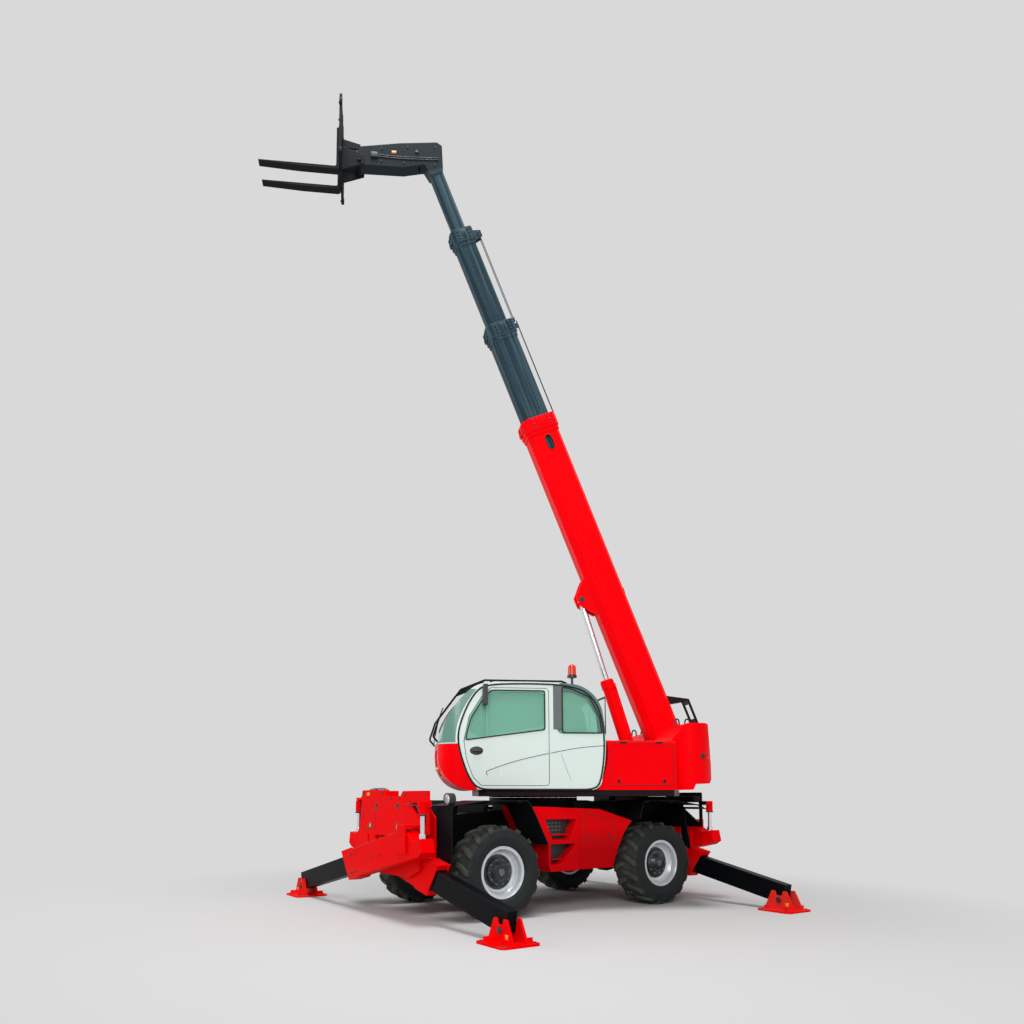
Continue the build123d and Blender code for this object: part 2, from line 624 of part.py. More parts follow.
with BuildPart(turret) as cab_guard:
    for rail_y in (420, 1070):
        rail_view = seen_from_left(turret, rail_y)
        bent_bar(rail_view, [(-230, 3018), (-230, 3062), (860, 3062), (1180, 2930), (1470, 2540), (1548, 2300),
                             (1488, 2228)], 13, 40)
    for bar_x, bar_z in ((-230, 3050), (860, 3062), (1180, 2930), (1470, 2540)):
        round_bar(turret, (bar_x, 420, bar_z), (bar_x, 1070, bar_z), 11)
    for bar_y in (583, 745, 907):
        round_bar(turret, (860, bar_y, 3062), (1180, bar_y, 2930), 8)
        round_bar(turret, (1180, bar_y, 2930), (1470, bar_y, 2540), 8)
save(cab_guard, "cab_guard")

with BuildPart(turret) as beacon:
    beacon_foot = turret.from_local_coords((-380, 900, 0))
    with BuildSketch(Plane(origin=beacon_foot, x_dir=turret.x_dir, z_dir=-turret.y_dir)) as lamp_section:
        with BuildLine():
            Polyline((0, 3006), (34, 3006), (34, 3024), (16, 3032), (16, 3130), (66, 3140), (66, 3172), (58, 3180),
                     (55, 3290))
            ThreePointArc((55, 3290), (36, 3318), (8, 3330))
            Polyline((8, 3330), (0, 3330), (0, 3006))
        make_face()
    revolve(lamp_section.sketch, axis=Axis(beacon_foot, (0, 0, 1)))
save(beacon, "beacon")

with BuildPart(turret) as mirror:
    round_bar(turret, (880, cab_left_y + 2, 2880), (890, 1330, 2900), 10)
    with Locations((890, 1335, 2830)):
        Box(48, 170, 270)
    fillet(mirror.edges().filter_by(Axis(turret.origin, turret.x_dir)), 8)
save(mirror, "mirror")

# ---------------------------------------------------------------- boom


def tube_outline(width, height, bevel):
    """Outline of a boom section: small bevels on top, larger ones below."""
    half, top = width / 2, height / 2
    right_side = [(half - bevel / 2, top), (half, top - bevel / 2), (half, -top + bevel), (half - bevel, -top)]
    return right_side + [(-x, z) for x, z in reversed(right_side)]


for number, (name, width, height, wall, tail, tip) in enumerate(boom_sections):
    with BuildPart(boom) as section:
        bevel = width / 4
        lip_top = height / 2 + collar_lip
        plate(seen_from_front(boom, tail), tube_outline(width, height, bevel), tip - tail)
        if number < 3:
            # Collar in two steps, with the pads' adjusting blocks under it.
            plate(seen_from_front(boom, tip - collar_length),
                  tube_outline(width + 2 * collar_lip, height + 2 * collar_lip, bevel), collar_length)
            plate(seen_from_front(boom, tip - collar_length - 60),
                  tube_outline(width + collar_lip, height + collar_lip, bevel), 70)
            for pad_y in (-width / 5, width / 5):
                block((tip - 150, tip - 90), (pad_y - 24, pad_y + 24), (-lip_top - 26, -lip_top + 10))
                block((tip - 60, tip - 20), (pad_y - 18, pad_y + 18), (-lip_top - 16, -lip_top + 10))
        bore_start = 500 if number == 0 else tail - 10
        bore_end = tip + 10 if number < 3 else tip - 300
        plate(seen_from_front(boom, bore_start),
              tube_outline(width - 2 * wall, height - 2 * wall, bevel), bore_end - bore_start, mode=Mode.SUBTRACT)
        if number == 0:
            for boss_y in (-width / 2 - boss_rise, width / 2):
                round_bar(boom, (0, boss_y, 0), (0, boss_y + boss_rise, 0), 130)
            round_bar(boom, (0, -215, 0), (0, 215, 0), 50, mode=Mode.SUBTRACT)
            for ear_y in (90, -60):
                plate(
                    seen_from_left(boom, ear_y),
                    [(lift_eye_s - 330, -230), (lift_eye_s + 330, -230), (lift_eye_s + 75, -lift_eye_drop - 70),
                     (lift_eye_s - 75, -lift_eye_drop - 70)],
                    30, rounding=30,
                )
            # Inspection slot through both flanks, and the lug on the back of the section.
            with BuildSketch(seen_from_left(boom, 210)) as slot_face:
                with Locations((4900, 25)):
                    SlotOverall(230, 110)
            extrude(slot_face.sketch, amount=420, mode=Mode.SUBTRACT)
            plate(seen_from_left(boom, 30), [(2330, 240), (2370, 300), (2450, 300), (2490, 240)], 60)
            # Hose guide on the back of the foot.
            for guide_y in (120, -96):
                plate(
                    seen_from_left(boom, guide_y),
                    [(560, 240), (690, 240), (520, 560), (130, 560), (60, 420), (60, 240), (90, 240), (90, 410),
                     (148, 530), (500, 530)],
                    24,
                )
            block((440, 520), (-120, 120), (536, 560))
            block((130, 210), (-120, 120), (536, 560))
        if number == 1:
            round_bar(boom, (5345, 90, 290), (tip - 20, 90, 290), 9)
            block((tip - 130, tip - 60), (76, 104), (lip_top - 5, 296))
        if number == 2:
            # Pulley block on the collar and the pair of ropes that it guides down the back.
            for cheek_y in (-46, 34):
                plate(seen_from_left(boom, cheek_y + 12), [(tip - 190, 170), (tip - 10, 170), (tip - 50, 320),
                                                           (tip - 150, 320)], 12)
            round_bar(boom, (tip - 100, -50, 262), (tip - 100, 50, 262), 38)
            for rope_y in (-24, 24):
                round_bar(boom, (6960, rope_y, 291), (tip - 100, rope_y, 291), 6)
            block((6950, 7010), (-36, 36), (283, 303))
        if number == 3:
            plate(
                seen_from_left(turret, 95),
                [(1349, 11219), (1370, 11640), (1450, 11690), (2020, 11620), (2620, 11510), (2700, 11400),
                 (2700, 11250), (2620, 11205), (1960, 11225), (1640, 11300), (1543, 11143)],
                190, rounding=25,
            )
            slot = [(1700, 11280), (2760, 11280), (2760, 11720), (1700, 11720)]
            plate(seen_from_left(turret, 62), slot, 124, mode=Mode.SUBTRACT)
            for boss_y in (107, -95):
                round_bar(turret, (carriage_pin_x, boss_y, carriage_pin_z),
                          (carriage_pin_x, boss_y - 12, carriage_pin_z), 70)
            round_bar(turret, (carriage_pin_x, -140, carriage_pin_z), (carriage_pin_x, 140, carriage_pin_z), 32)
            round_bar(turret, (1760, -80, 11500), (1760, 80, 11500), 22)
    save(section, name)

# ---------------------------------------------------------------- lift cylinder
eye = turret.to_local_coords(boom.from_local_coords((lift_eye_s, 0, -lift_eye_drop)))
cylinder_length = hypot(eye.X - lift_pin_x, eye.Z - lift_pin_z)
cylinder_rise = degrees(atan2(eye.Z - lift_pin_z, eye.X - lift_pin_x))
lift = tilted(turret, lift_pin_x, lift_pin_z, cylinder_rise)

with BuildPart(lift) as lift_barrel:
    round_bar(lift, (0, 0, 0), (1580, 0, 0), 90)
    round_bar(lift, (1440, 0, 0), (1560, 0, 0), 100)
    round_bar(lift, (0, -80, 0), (0, 80, 0), 85)
    round_bar(lift, (300, 0, 108), (1500, 0, 108), 12)
    block((290, 320), (-14, 14), (80, 118))
    block((1470, 1500), (-14, 14), (80, 118))
    round_bar(lift, (0, -90, 0), (0, 90, 0), 39, mode=Mode.SUBTRACT)
    round_bar(lift, (120, 0, 0), (1590, 0, 0), 56, mode=Mode.SUBTRACT)
save(lift_barrel, "lift_barrel")

with BuildPart(lift) as lift_rod:
    round_bar(lift, (1100, 0, 0), (cylinder_length, 0, 0), 45)
    round_bar(lift, (cylinder_length, -50, 0), (cylinder_length, 50, 0), 52)
save(lift_rod, "lift_rod")

# ---------------------------------------------------------------- carriage, forks and tilt cylinder
with BuildPart(turret) as carriage:
    for bar_z in (11000, 11540, 11820):
        block((carriage_back_x, fork_face_x - 2), (-500, 500), (bar_z, bar_z + 80))
    for post_y in (-500, -130, 70, 440):
        plate(
            seen_from_front(turret, carriage_back_x),
            [(post_y, 11000), (post_y + 60, 11000), (post_y + 60, 11960), (post_y + 45, 11990), (post_y + 15, 11990),
             (post_y, 11960)],
            fork_face_x - 2 - carriage_back_x,
        )
    for ear_y in (142, -112):
        plate(seen_from_left(turret, ear_y), [(2570, 11190), (2570, 11330), (2700, 11370), (2910, 11450), (2910, 11060)],
              30, rounding=22)
        round_bar(turret, (carriage_pin_x, ear_y + 5, carriage_pin_z), (carriage_pin_x, ear_y - 35, carriage_pin_z), 34,
                  mode=Mode.SUBTRACT)
    for ear_y in (56, -34):
        plate(seen_from_left(turret, ear_y), [(2630, 11490), (2630, 11570), (2910, 11640), (2910, 11500)], 22,
              rounding=14)
save(carriage, "carriage")

with BuildPart(turret) as forks:
    for side in (-1, 1):
        left_face = side * fork_half_gap + fork_width / 2
        with BuildSketch(seen_from_left(turret, left_face)) as blade:
            with BuildLine():
                FilletPolyline(
                    (fork_face_x, fork_top_z - 45), (fork_face_x + 600, fork_top_z - 42),
                    (fork_face_x + fork_length, fork_top_z - 14), (fork_face_x + fork_length, fork_top_z),
                    (fork_face_x + 45, fork_top_z), (fork_face_x + 45, 11640), (fork_face_x, 11640),
                    radius=[40, 300, 5, 5, 25, 12, 6], close=True,
                )
            make_face()
        extrude(blade.sketch, amount=fork_width)
save(forks, "forks")

tilt_start_x, tilt_start_z = 1760, 11500
tilt_end_x, tilt_end_z = 2670, 11530
tilt_length = hypot(tilt_end_x - tilt_start_x, tilt_end_z - tilt_start_z)
tilt_rise = degrees(atan2(tilt_end_z - tilt_start_z, tilt_end_x - tilt_start_x))
tilt = tilted(turret, tilt_start_x, tilt_start_z, tilt_rise)
with BuildPart(tilt) as tilt_barrel:
    round_bar(tilt, (0, 0, 0), (560, 0, 0), 42)
    round_bar(tilt, (0, -40, 0), (0, 40, 0), 45)
    round_bar(tilt, (0, -50, 0), (0, 50, 0), 23, mode=Mode.SUBTRACT)
    round_bar(tilt, (60, 0, 0), (570, 0, 0), 25, mode=Mode.SUBTRACT)
save(tilt_barrel, "tilt_barrel")

with BuildPart(tilt) as tilt_rod:
    round_bar(tilt, (370, 0, 0), (tilt_length, 0, 0), 22)
    round_bar(tilt, (tilt_length, -26, 0), (tilt_length, 26, 0), 38)
save(tilt_rod, "tilt_rod")
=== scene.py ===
# %% [markdown]
# # Dressing a rotating telehandler
# The machine stands on four splayed stabilisers, with its turret turned a little and its boom run out.
# The solids arrive as a fixed frame that already has the right sizes, so every place below is read from it
# or measured in one of its own frames of reference, and nothing here is fitted by eye.

# %% Load the frame
from math import cos, pi, radians, sin

import bmesh
import bpy
from mathutils import Matrix, Vector
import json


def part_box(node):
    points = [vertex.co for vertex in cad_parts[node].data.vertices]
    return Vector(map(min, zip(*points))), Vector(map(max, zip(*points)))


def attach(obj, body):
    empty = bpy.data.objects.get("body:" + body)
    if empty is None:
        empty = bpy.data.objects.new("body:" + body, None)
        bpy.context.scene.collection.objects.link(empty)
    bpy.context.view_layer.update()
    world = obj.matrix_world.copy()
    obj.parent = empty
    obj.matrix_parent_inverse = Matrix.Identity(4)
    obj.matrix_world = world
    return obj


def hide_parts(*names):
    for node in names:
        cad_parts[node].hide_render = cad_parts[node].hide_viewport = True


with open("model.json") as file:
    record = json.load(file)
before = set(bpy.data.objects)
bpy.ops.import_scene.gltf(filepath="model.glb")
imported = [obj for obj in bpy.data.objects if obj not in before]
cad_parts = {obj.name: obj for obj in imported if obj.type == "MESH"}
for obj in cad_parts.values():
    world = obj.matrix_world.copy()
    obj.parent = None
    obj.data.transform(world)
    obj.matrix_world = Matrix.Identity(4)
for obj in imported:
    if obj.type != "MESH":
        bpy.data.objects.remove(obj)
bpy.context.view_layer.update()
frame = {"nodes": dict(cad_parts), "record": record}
nodes = frame["nodes"]

# %% [markdown]
# ## Camera
# A low eye to the left of the machine's nose, tipped up a little: the boom's head is almost twelve metres up.
# The lens shift brings the whole height into the frame while the uprights stay nearly upright, as an
# architectural photographer would do it with a view camera. The format is upright, 22 mm by 36 mm, so a view
# from any other side stands back far enough to keep the feet in the picture in spite of the shift.

# %% Camera
camera_data = bpy.data.cameras.new("camera")
camera = bpy.data.objects.new("camera", camera_data)
bpy.context.collection.objects.link(camera)
bpy.context.scene.camera = camera
camera.location = (6.485, 9.148, 1.478)
heading = Vector((-0.5343, -0.8453, 0.0)).normalized()
rise = radians(5.69)
sight = heading * cos(rise) + Vector((0, 0, sin(rise)))
camera.rotation_euler = sight.to_track_quat("-Z", "Y").to_euler()
camera_data.sensor_fit = "VERTICAL"
camera_data.sensor_height = 36
camera_data.sensor_width = 22
camera_data.lens = 27.436
camera_data.shift_x = 0.0501
camera_data.shift_y = 0.2045
camera_data.clip_end = 500
print("camera at", tuple(camera.location), "lens", camera_data.lens)

# %% [markdown]
# ## Studio
# A studio floor that runs up into its backdrop shows no horizon. Here the floor is a wide disc whose paper melts
# into a glow of the backdrop's own grey a few metres out, so near the machine it still takes the shadows. The
# light is one soft panel overhead, one from the front left, a weaker one opposite, and an even sky between them.

# %% Sky and backdrop
backdrop_grey = (0.694, 0.694, 0.694, 1)
scene = bpy.context.scene
scene.view_settings.view_transform = "Standard"


def link(tree, start, end):
    """Connect two sockets of a node tree."""
    tree.links.new(start, end)


world = bpy.data.worlds.new("studio")
scene.world = world
world.use_nodes = True
sky_tree = world.node_tree
sky = sky_tree.nodes["Background"]
sky.inputs["Color"].default_value = (1, 1, 1, 1)
sky.inputs["Strength"].default_value = 0.34
backdrop = sky_tree.nodes.new("ShaderNodeBackground")
backdrop.inputs["Color"].default_value = backdrop_grey
ray_kind = sky_tree.nodes.new("ShaderNodeLightPath")
looked_at = ray_kind.outputs["Is Camera Ray"]
for kind in ("Is Transmission Ray", "Is Glossy Ray"):
    larger = sky_tree.nodes.new("ShaderNodeMath")
    larger.operation = "MAXIMUM"
    link(sky_tree, looked_at, larger.inputs[0])
    link(sky_tree, ray_kind.outputs[kind], larger.inputs[1])
    looked_at = larger.outputs[0]
seen = sky_tree.nodes.new("ShaderNodeMixShader")
link(sky_tree, looked_at, seen.inputs[0])
link(sky_tree, sky.outputs[0], seen.inputs[1])
link(sky_tree, backdrop.outputs[0], seen.inputs[2])
link(sky_tree, seen.outputs[0], sky_tree.nodes["World Output"].inputs["Surface"])
print("sky strength", sky.inputs["Strength"].default_value)

# %% [markdown]
# The disc is far wider than any view of it, and its centre lies under the machine.

# %% Floor
floor_radius = 160
melt_start, melt_end = 3.2, 8.0
floor_form = bmesh.new()
bmesh.ops.create_circle(floor_form, cap_ends=True, segments=96, radius=floor_radius)
floor_mesh = bpy.data.meshes.new("floor")
floor_form.to_mesh(floor_mesh)
floor_form.free()
floor = bpy.data.objects.new("floor", floor_mesh)
bpy.context.collection.objects.link(floor)

floor_paper = bpy.data.materials.new("floor_paper")
floor_paper.use_nodes = True
tree = floor_paper.node_tree
paper = tree.nodes["Principled BSDF"]
paper.inputs["Base Color"].default_value = (0.53, 0.53, 0.53, 1)
paper.inputs["Roughness"].default_value = 0.95
paper.inputs["Specular IOR Level"].default_value = 0.0
glow = tree.nodes.new("ShaderNodeEmission")
glow.inputs["Color"].default_value = backdrop_grey
place = tree.nodes.new("ShaderNodeTexCoord")
span = tree.nodes.new("ShaderNodeVectorMath")
span.operation = "LENGTH"
melt = tree.nodes.new("ShaderNodeMapRange")
melt.interpolation_type = "SMOOTHSTEP"
melt.inputs["From Min"].default_value = melt_start
melt.inputs["From Max"].default_value = melt_end
fade = tree.nodes.new("ShaderNodeMixShader")
link(tree, place.outputs["Object"], span.inputs[0])
link(tree, span.outputs["Value"], melt.inputs["Value"])
link(tree, melt.outputs["Result"], fade.inputs[0])
link(tree, paper.outputs[0], fade.inputs[1])
link(tree, glow.outputs[0], fade.inputs[2])
link(tree, fade.outputs[0], tree.nodes["Material Output"].inputs["Surface"])
floor_mesh.materials.append(floor_paper)
print("floor radius", floor_radius)

# %% [markdown]
# Big panels close enough to wrap round the machine give the broad, soft highlights that satin paint needs.

# %% Lamps


def soft_panel(name, spot, aim, size, power):
    """Square area lamp that faces a point."""
    lamp = bpy.data.lights.new(name, "AREA")
    lamp.size = size
    lamp.energy = power
    holder = bpy.data.objects.new(name, lamp)
    holder.location = spot
    holder.rotation_euler = (Vector(aim) - Vector(spot)).to_track_quat("-Z", "Y").to_euler()
    bpy.context.collection.objects.link(holder)


soft_panel("overhead", (3.5, 4.5, 27.0), (-0.3, 0, 1), 9, 5000)
soft_panel("front_left", (8.5, 12.0, 7.5), (0, 0, 4), 6, 1150)
soft_panel("front_right", (9.0, -7.0, 6.0), (0, 0, 3), 6, 380)

# %% [markdown]
# ## Frames of reference
# The drawings of such a machine use three frames: the carrier's, the slewed turret's and the tilted boom's. The
# same three are kept here in millimetres, so a bolt on a collar is placed by its distance along the boom.

# %% Frames
mm = Matrix.Scale(0.001, 4)
slew_axis_x = 0.547396
slew_turn = radians(-26)
boom_lift = radians(68.6)
boom_pivot = (-2040, 0, 2290)
carrier_frame = Matrix.Translation((-slew_axis_x, 0, 0)) @ mm
turret_frame = carrier_frame @ Matrix.Rotation(slew_turn, 4, "Z")
boom_frame = turret_frame @ Matrix.Translation(boom_pivot) @ Matrix.Rotation(-boom_lift, 4, "Y")
for frame_name, local in (("carrier", carrier_frame), ("turret", turret_frame), ("boom", boom_frame)):
    print(frame_name, [round(v, 3) for v in local.translation])

# %% [markdown]
# ## Finishes
# Every painted or moulded finish is one recipe with other numbers. A slow cloud drifts the colour and the gloss,
# because sprayed paint is never even. A fine grain makes the surface's small bump. A rounded-edge normal catches
# the light along sharp corners, and where it departs from the true normal it also marks the edges with another
# colour: paler wear from handling on the reds, and a painted highlight on the boom grey. All patterns read Object
# coordinates, so they stay put when a joint moves.

# %% The paint recipe


class Paint:
    """A principled material with clouded colour, clouded gloss, fine grain and marked edges."""

    def __init__(self, name, colour, roughness, drift=0.06, drift_scale=1.5, grain=0.1, grain_scale=160,
                 edge_colour=None, edge_amount=0.25, edge_radius=0.006, **shader_values):
        self.material = bpy.data.materials.new(name)
        self.material.use_nodes = True
        self.tree = self.material.node_tree
        self.shader = self.tree.nodes["Principled BSDF"]
        self.place = self.node("ShaderNodeTexCoord").outputs["Object"]
        cloud = self.node("ShaderNodeTexNoise")
        cloud.inputs["Scale"].default_value = drift_scale
        cloud.inputs["Detail"].default_value = 6
        link(self.tree, self.place, cloud.inputs["Vector"])
        self.cloud = cloud.outputs["Fac"]
        pale = tuple(min(1, c * (1 + drift)) for c in colour)
        deep = tuple(c * (1 - drift) for c in colour)
        self.colour = self.mixed(self.cloud, deep, pale)
        speck = self.node("ShaderNodeTexNoise")
        speck.inputs["Scale"].default_value = grain_scale
        speck.inputs["Detail"].default_value = 3
        link(self.tree, self.place, speck.inputs["Vector"])
        self.speck = speck.outputs["Fac"]
        edge = self.node("ShaderNodeBevel")
        edge.samples = 4
        edge.inputs["Radius"].default_value = edge_radius
        bump = self.node("ShaderNodeBump")
        bump.inputs["Strength"].default_value = grain
        bump.inputs["Distance"].default_value = 0.002
        link(self.tree, self.speck, bump.inputs["Height"])
        link(self.tree, edge.outputs["Normal"], bump.inputs["Normal"])
        link(self.tree, bump.outputs["Normal"], self.shader.inputs["Normal"])
        if edge_colour:
            true_normal = self.node("ShaderNodeNewGeometry").outputs["Normal"]
            likeness = self.node("ShaderNodeVectorMath")
            likeness.operation = "DOT_PRODUCT"
            link(self.tree, edge.outputs["Normal"], likeness.inputs[0])
            link(self.tree, true_normal, likeness.inputs[1])
            edge_mask = self.ramp(likeness.outputs["Value"], 0.99, 0.80, 0.0, edge_amount)
            self.colour = self.mixed(edge_mask, self.colour, edge_colour)
        sheen = self.ramp(self.cloud, 0.3, 0.7, roughness * 0.85, roughness * 1.15)
        link(self.tree, sheen, self.shader.inputs["Roughness"])
        link(self.tree, self.colour, self.shader.inputs["Base Color"])
        for socket, value in shader_values.items():
            self.shader.inputs[socket.replace("_", " ")].default_value = value

    def node(self, kind):
        """Add a node to this finish."""
        return self.tree.nodes.new(kind)

    def mixed(self, amount, first, second):
        """Mix two colours, each a colour or a socket."""
        mix = self.node("ShaderNodeMixRGB")
        link(self.tree, amount, mix.inputs["Fac"])
        for socket, colour in ((mix.inputs["Color1"], first), (mix.inputs["Color2"], second)):
            if isinstance(colour, tuple):
                socket.default_value = (*colour, 1)
            else:
                link(self.tree, colour, socket)
        return mix.outputs["Color"]

    def ramp(self, value, start, end, low=0.0, high=1.0):
        """Map a value from start..end to low..high, clamped."""
        span = self.node("ShaderNodeMapRange")
        for socket, number in (("From Min", start), ("From Max", end), ("To Min", low), ("To Max", high)):
            span.inputs[socket].default_value = number
        link(self.tree, value, span.inputs["Value"])
        return span.outputs["Result"]

    def maths(self, operation, first, second=None):
        """One maths node on two values, each a number or a socket."""
        step = self.node("ShaderNodeMath")
        step.operation = operation
        for socket, value in ((step.inputs[0], first), (step.inputs[1], second)):
            if isinstance(value, (int, float)):
                socket.default_value = value
            elif value is not None:
                link(self.tree, value, socket)
        return step.outputs[0]

    def times(self, first, *others):
        """Product of two or more values."""
        for other in others:
            first = self.maths("MULTIPLY", first, other)
        return first

    def local(self, local_frame):
        """Object coordinates as x, y, z of one of the machine's frames, in metres."""
        back = (local_frame @ mm.inverted()).inverted()
        mapping = self.node("ShaderNodeMapping")
        mapping.inputs["Location"].default_value = back.translation
        mapping.inputs["Rotation"].default_value = back.to_euler("XYZ")
        link(self.tree, self.place, mapping.inputs["Vector"])
        split = self.node("ShaderNodeSeparateXYZ")
        link(self.tree, mapping.outputs["Vector"], split.inputs[0])
        return split.outputs

    def facing_in(self, centre):
        """1 on faces that look towards a centre, given in metres, 0 on those that look away."""
        away = self.node("ShaderNodeVectorMath")
        away.operation = "SUBTRACT"
        away.inputs[1].default_value = centre
        link(self.tree, self.place, away.inputs[0])
        facing = self.node("ShaderNodeVectorMath")
        facing.operation = "DOT_PRODUCT"
        link(self.tree, away.outputs["Vector"], facing.inputs[0])
        link(self.tree, self.node("ShaderNodeTexCoord").outputs["Normal"], facing.inputs[1])
        return self.ramp(facing.outputs["Value"], -0.02, -0.08)

    def lay(self, amount, colour):
        """Lay another colour over the finish where the amount is 1."""
        self.colour = self.mixed(amount, self.colour, colour)
        link(self.tree, self.colour, self.shader.inputs["Base Color"])


bright_red = (0.90, 0.0008, 0.004)
worn_red = (0.95, 0.07, 0.06)
red_gloss = (1.0, 0.10, 0.09, 1.0)


def red_finish(name, colour=bright_red, roughness=0.36, shine=0.14):
    """Red paint with paler worn edges and a reddish shine."""
    return Paint(name, colour, roughness, edge_colour=worn_red, Specular_IOR_Level=shine,
                 Specular_Tint=red_gloss)


red_paint = red_finish("red_paint")
print("recipe ready, first finish", red_paint.material.name)

# %% [markdown]
# The carrier lives near the ground, so its red takes a breath of dust low down. The side boxes under the doors
# turn darker below their crease, where the sheet leans in and shades itself. The rear module is painted near-black
# on the side towards the wheels and above its hinges, as painted shade of the recess behind its plate.

# %% Carrier red
carrier_red = red_finish("carrier_red", (0.82, 0.0006, 0.002), 0.5, 0.03)
carrier_place = carrier_red.local(carrier_frame)
low_down = carrier_red.ramp(carrier_place[2], 0.75, 0.25, 0.0, 0.5)
dust = carrier_red.times(low_down, carrier_red.ramp(carrier_red.cloud, 0.45, 0.75))
carrier_red.lay(dust, (0.30, 0.10, 0.07))
box_red = red_finish("box_red", (0.78, 0.0008, 0.003), 0.4, 0.08)
box_place = box_red.local(carrier_frame)
under_crease = box_red.ramp(box_place[2], 1.12, 0.78, 0.0, 0.55)
box_red.lay(under_crease, (0.30, 0.001, 0.004))
rear_module_red = red_finish("rear_module_red", (0.86, 0.0008, 0.003), 0.4, 0.08)
rear_ahead, _, rear_height = rear_module_red.local(carrier_frame)
# Painted shade: the module's side towards the wheels, above its hinges, is painted near-black for the recess behind
# its plate.
rear_recess_shade = rear_module_red.times(rear_module_red.ramp(rear_height, 1.060, 1.062),
                                   rear_module_red.ramp(rear_ahead, -2.388, -2.386))
rear_module_red.lay(rear_recess_shade, (0.005, 0.006, 0.008))
print("carrier reds", carrier_red.material.name, box_red.material.name)

# %% [markdown]
# Some solids wear two paints that meet at a straight line. The turret's floor is black under red towers, the
# boom's hose guide is black on a red foot, and the beacon's foot is black under its orange dome. A threshold on
# one local coordinate splits them, which needs no second solid.

# %% Two-tone finishes
satin_black = (0.011, 0.012, 0.014)
turret_red = red_finish("turret_red")
turret_height = turret_red.local(turret_frame)[2]
turret_red.lay(turret_red.ramp(turret_height, 1.6015, 1.6005), satin_black)

boom_red = red_finish("boom_red")
boom_place = boom_red.local(boom_frame)
on_guide = boom_red.times(boom_red.ramp(boom_place[2], 0.2460, 0.2470),
                          boom_red.ramp(boom_place[0], 0.80, 0.79))
boom_red.lay(on_guide, satin_black)

beacon_dome = Paint("beacon_dome", (0.60, 0.040, 0.008), 0.16, 0.3, 14, 0.02, edge_colour=(0.95, 0.35, 0.03),
                    Specular_IOR_Level=0.3)
beacon_height = beacon_dome.local(turret_frame)[2]
beacon_dome.lay(beacon_dome.ramp(beacon_height, 3.182, 3.180), (0.02, 0.021, 0.022))
print("two-tone finishes", turret_red.material.name, boom_red.material.name, beacon_dome.material.name)

# %% [markdown]
# Chassis black and boom grey are satin. The chassis's black is painted shade and stands for the dark inside of the
# wheel arches. On the boom's inner sections the long edges are painted paler as a painted highlight. Their faces
# carry faint paler streaks along the boom, which are also painted highlight: a noise squeezed hard along the boom's
# own axis.

# %% Blacks and boom grey
# The chassis frame takes this black through its record slot. There the black is painted shade for the dark wheel
# arches.
black_paint = Paint("black_paint", (0.005, 0.006, 0.008), 0.45, 0.3, 2.0, edge_colour=(0.05, 0.055, 0.06),
                    edge_amount=0.5, Specular_IOR_Level=0.07)
beam_black = Paint("beam_black", (0.0025, 0.003, 0.004), 0.38, 0.3, 3.0, edge_colour=(0.07, 0.08, 0.10),
                   edge_amount=0.7, Specular_IOR_Level=0.05)
# Painted highlight: the pale blue-grey on the boom grey's edges stands for the light along them.
boom_grey = Paint("boom_grey", (0.016, 0.036, 0.050), 0.38, 0.15, 2.0, edge_colour=(0.17, 0.26, 0.30),
                  edge_amount=0.8, edge_radius=0.012, Specular_IOR_Level=0.07)
streak_map = boom_grey.node("ShaderNodeMapping")
back = (boom_frame @ mm.inverted()).inverted()
streak_map.inputs["Location"].default_value = (back.translation.x * 0.15, back.translation.y, back.translation.z)
streak_map.inputs["Rotation"].default_value = back.to_euler("XYZ")
squeeze = boom_grey.node("ShaderNodeVectorMath")
squeeze.operation = "MULTIPLY"
squeeze.inputs[1].default_value = (0.02, 1.0, 1.0)
streaks = boom_grey.node("ShaderNodeTexNoise")
streaks.inputs["Scale"].default_value = 28
link(boom_grey.tree, boom_grey.place, streak_map.inputs["Vector"])
link(boom_grey.tree, streak_map.outputs["Vector"], squeeze.inputs[0])
link(boom_grey.tree, squeeze.outputs["Vector"], streaks.inputs["Vector"])
along_boom = boom_grey.local(boom_frame)[0]
# Painted highlight: paler streaks along the boom stand for the light on its faces.
painted_streak_highlight = boom_grey.times(boom_grey.ramp(streaks.outputs["Fac"], 0.48, 0.68, 0.0, 0.6),
                           boom_grey.ramp(along_boom, 9.60, 9.50))
boom_grey.lay(painted_streak_highlight, (0.080, 0.135, 0.155))
boom_grey.lay(boom_grey.ramp(along_boom, 9.60, 9.62, 0.0, 0.9), (0.010, 0.016, 0.019))
print("boom streaks run along", [round(v, 2) for v in (boom_frame.to_3x3() @ Vector((1, 0, 0))).normalized()])

# %% [markdown]
# The cab is a pale greenish white with a harder gloss than the reds. Its windscreen wraps round the front corner, so
# the shell's corner ahead of the post is finished as tinted glass. Inside, the shell is lined in dark plastic: its
# inner faces are the ones whose normal points towards the cab's middle. The panes are bonded flush, so the tint
# runs on over the frames that they are glued to, as far as the rubber.

# %% Cab white, plastics and iron


def white_finish(name):
    """Pale greenish white under a hard clear coat."""
    return Paint(name, (0.66, 0.75, 0.71), 0.26, 0.03, 1.0, 0.05, Coat_Weight=0.4, Coat_Roughness=0.08)


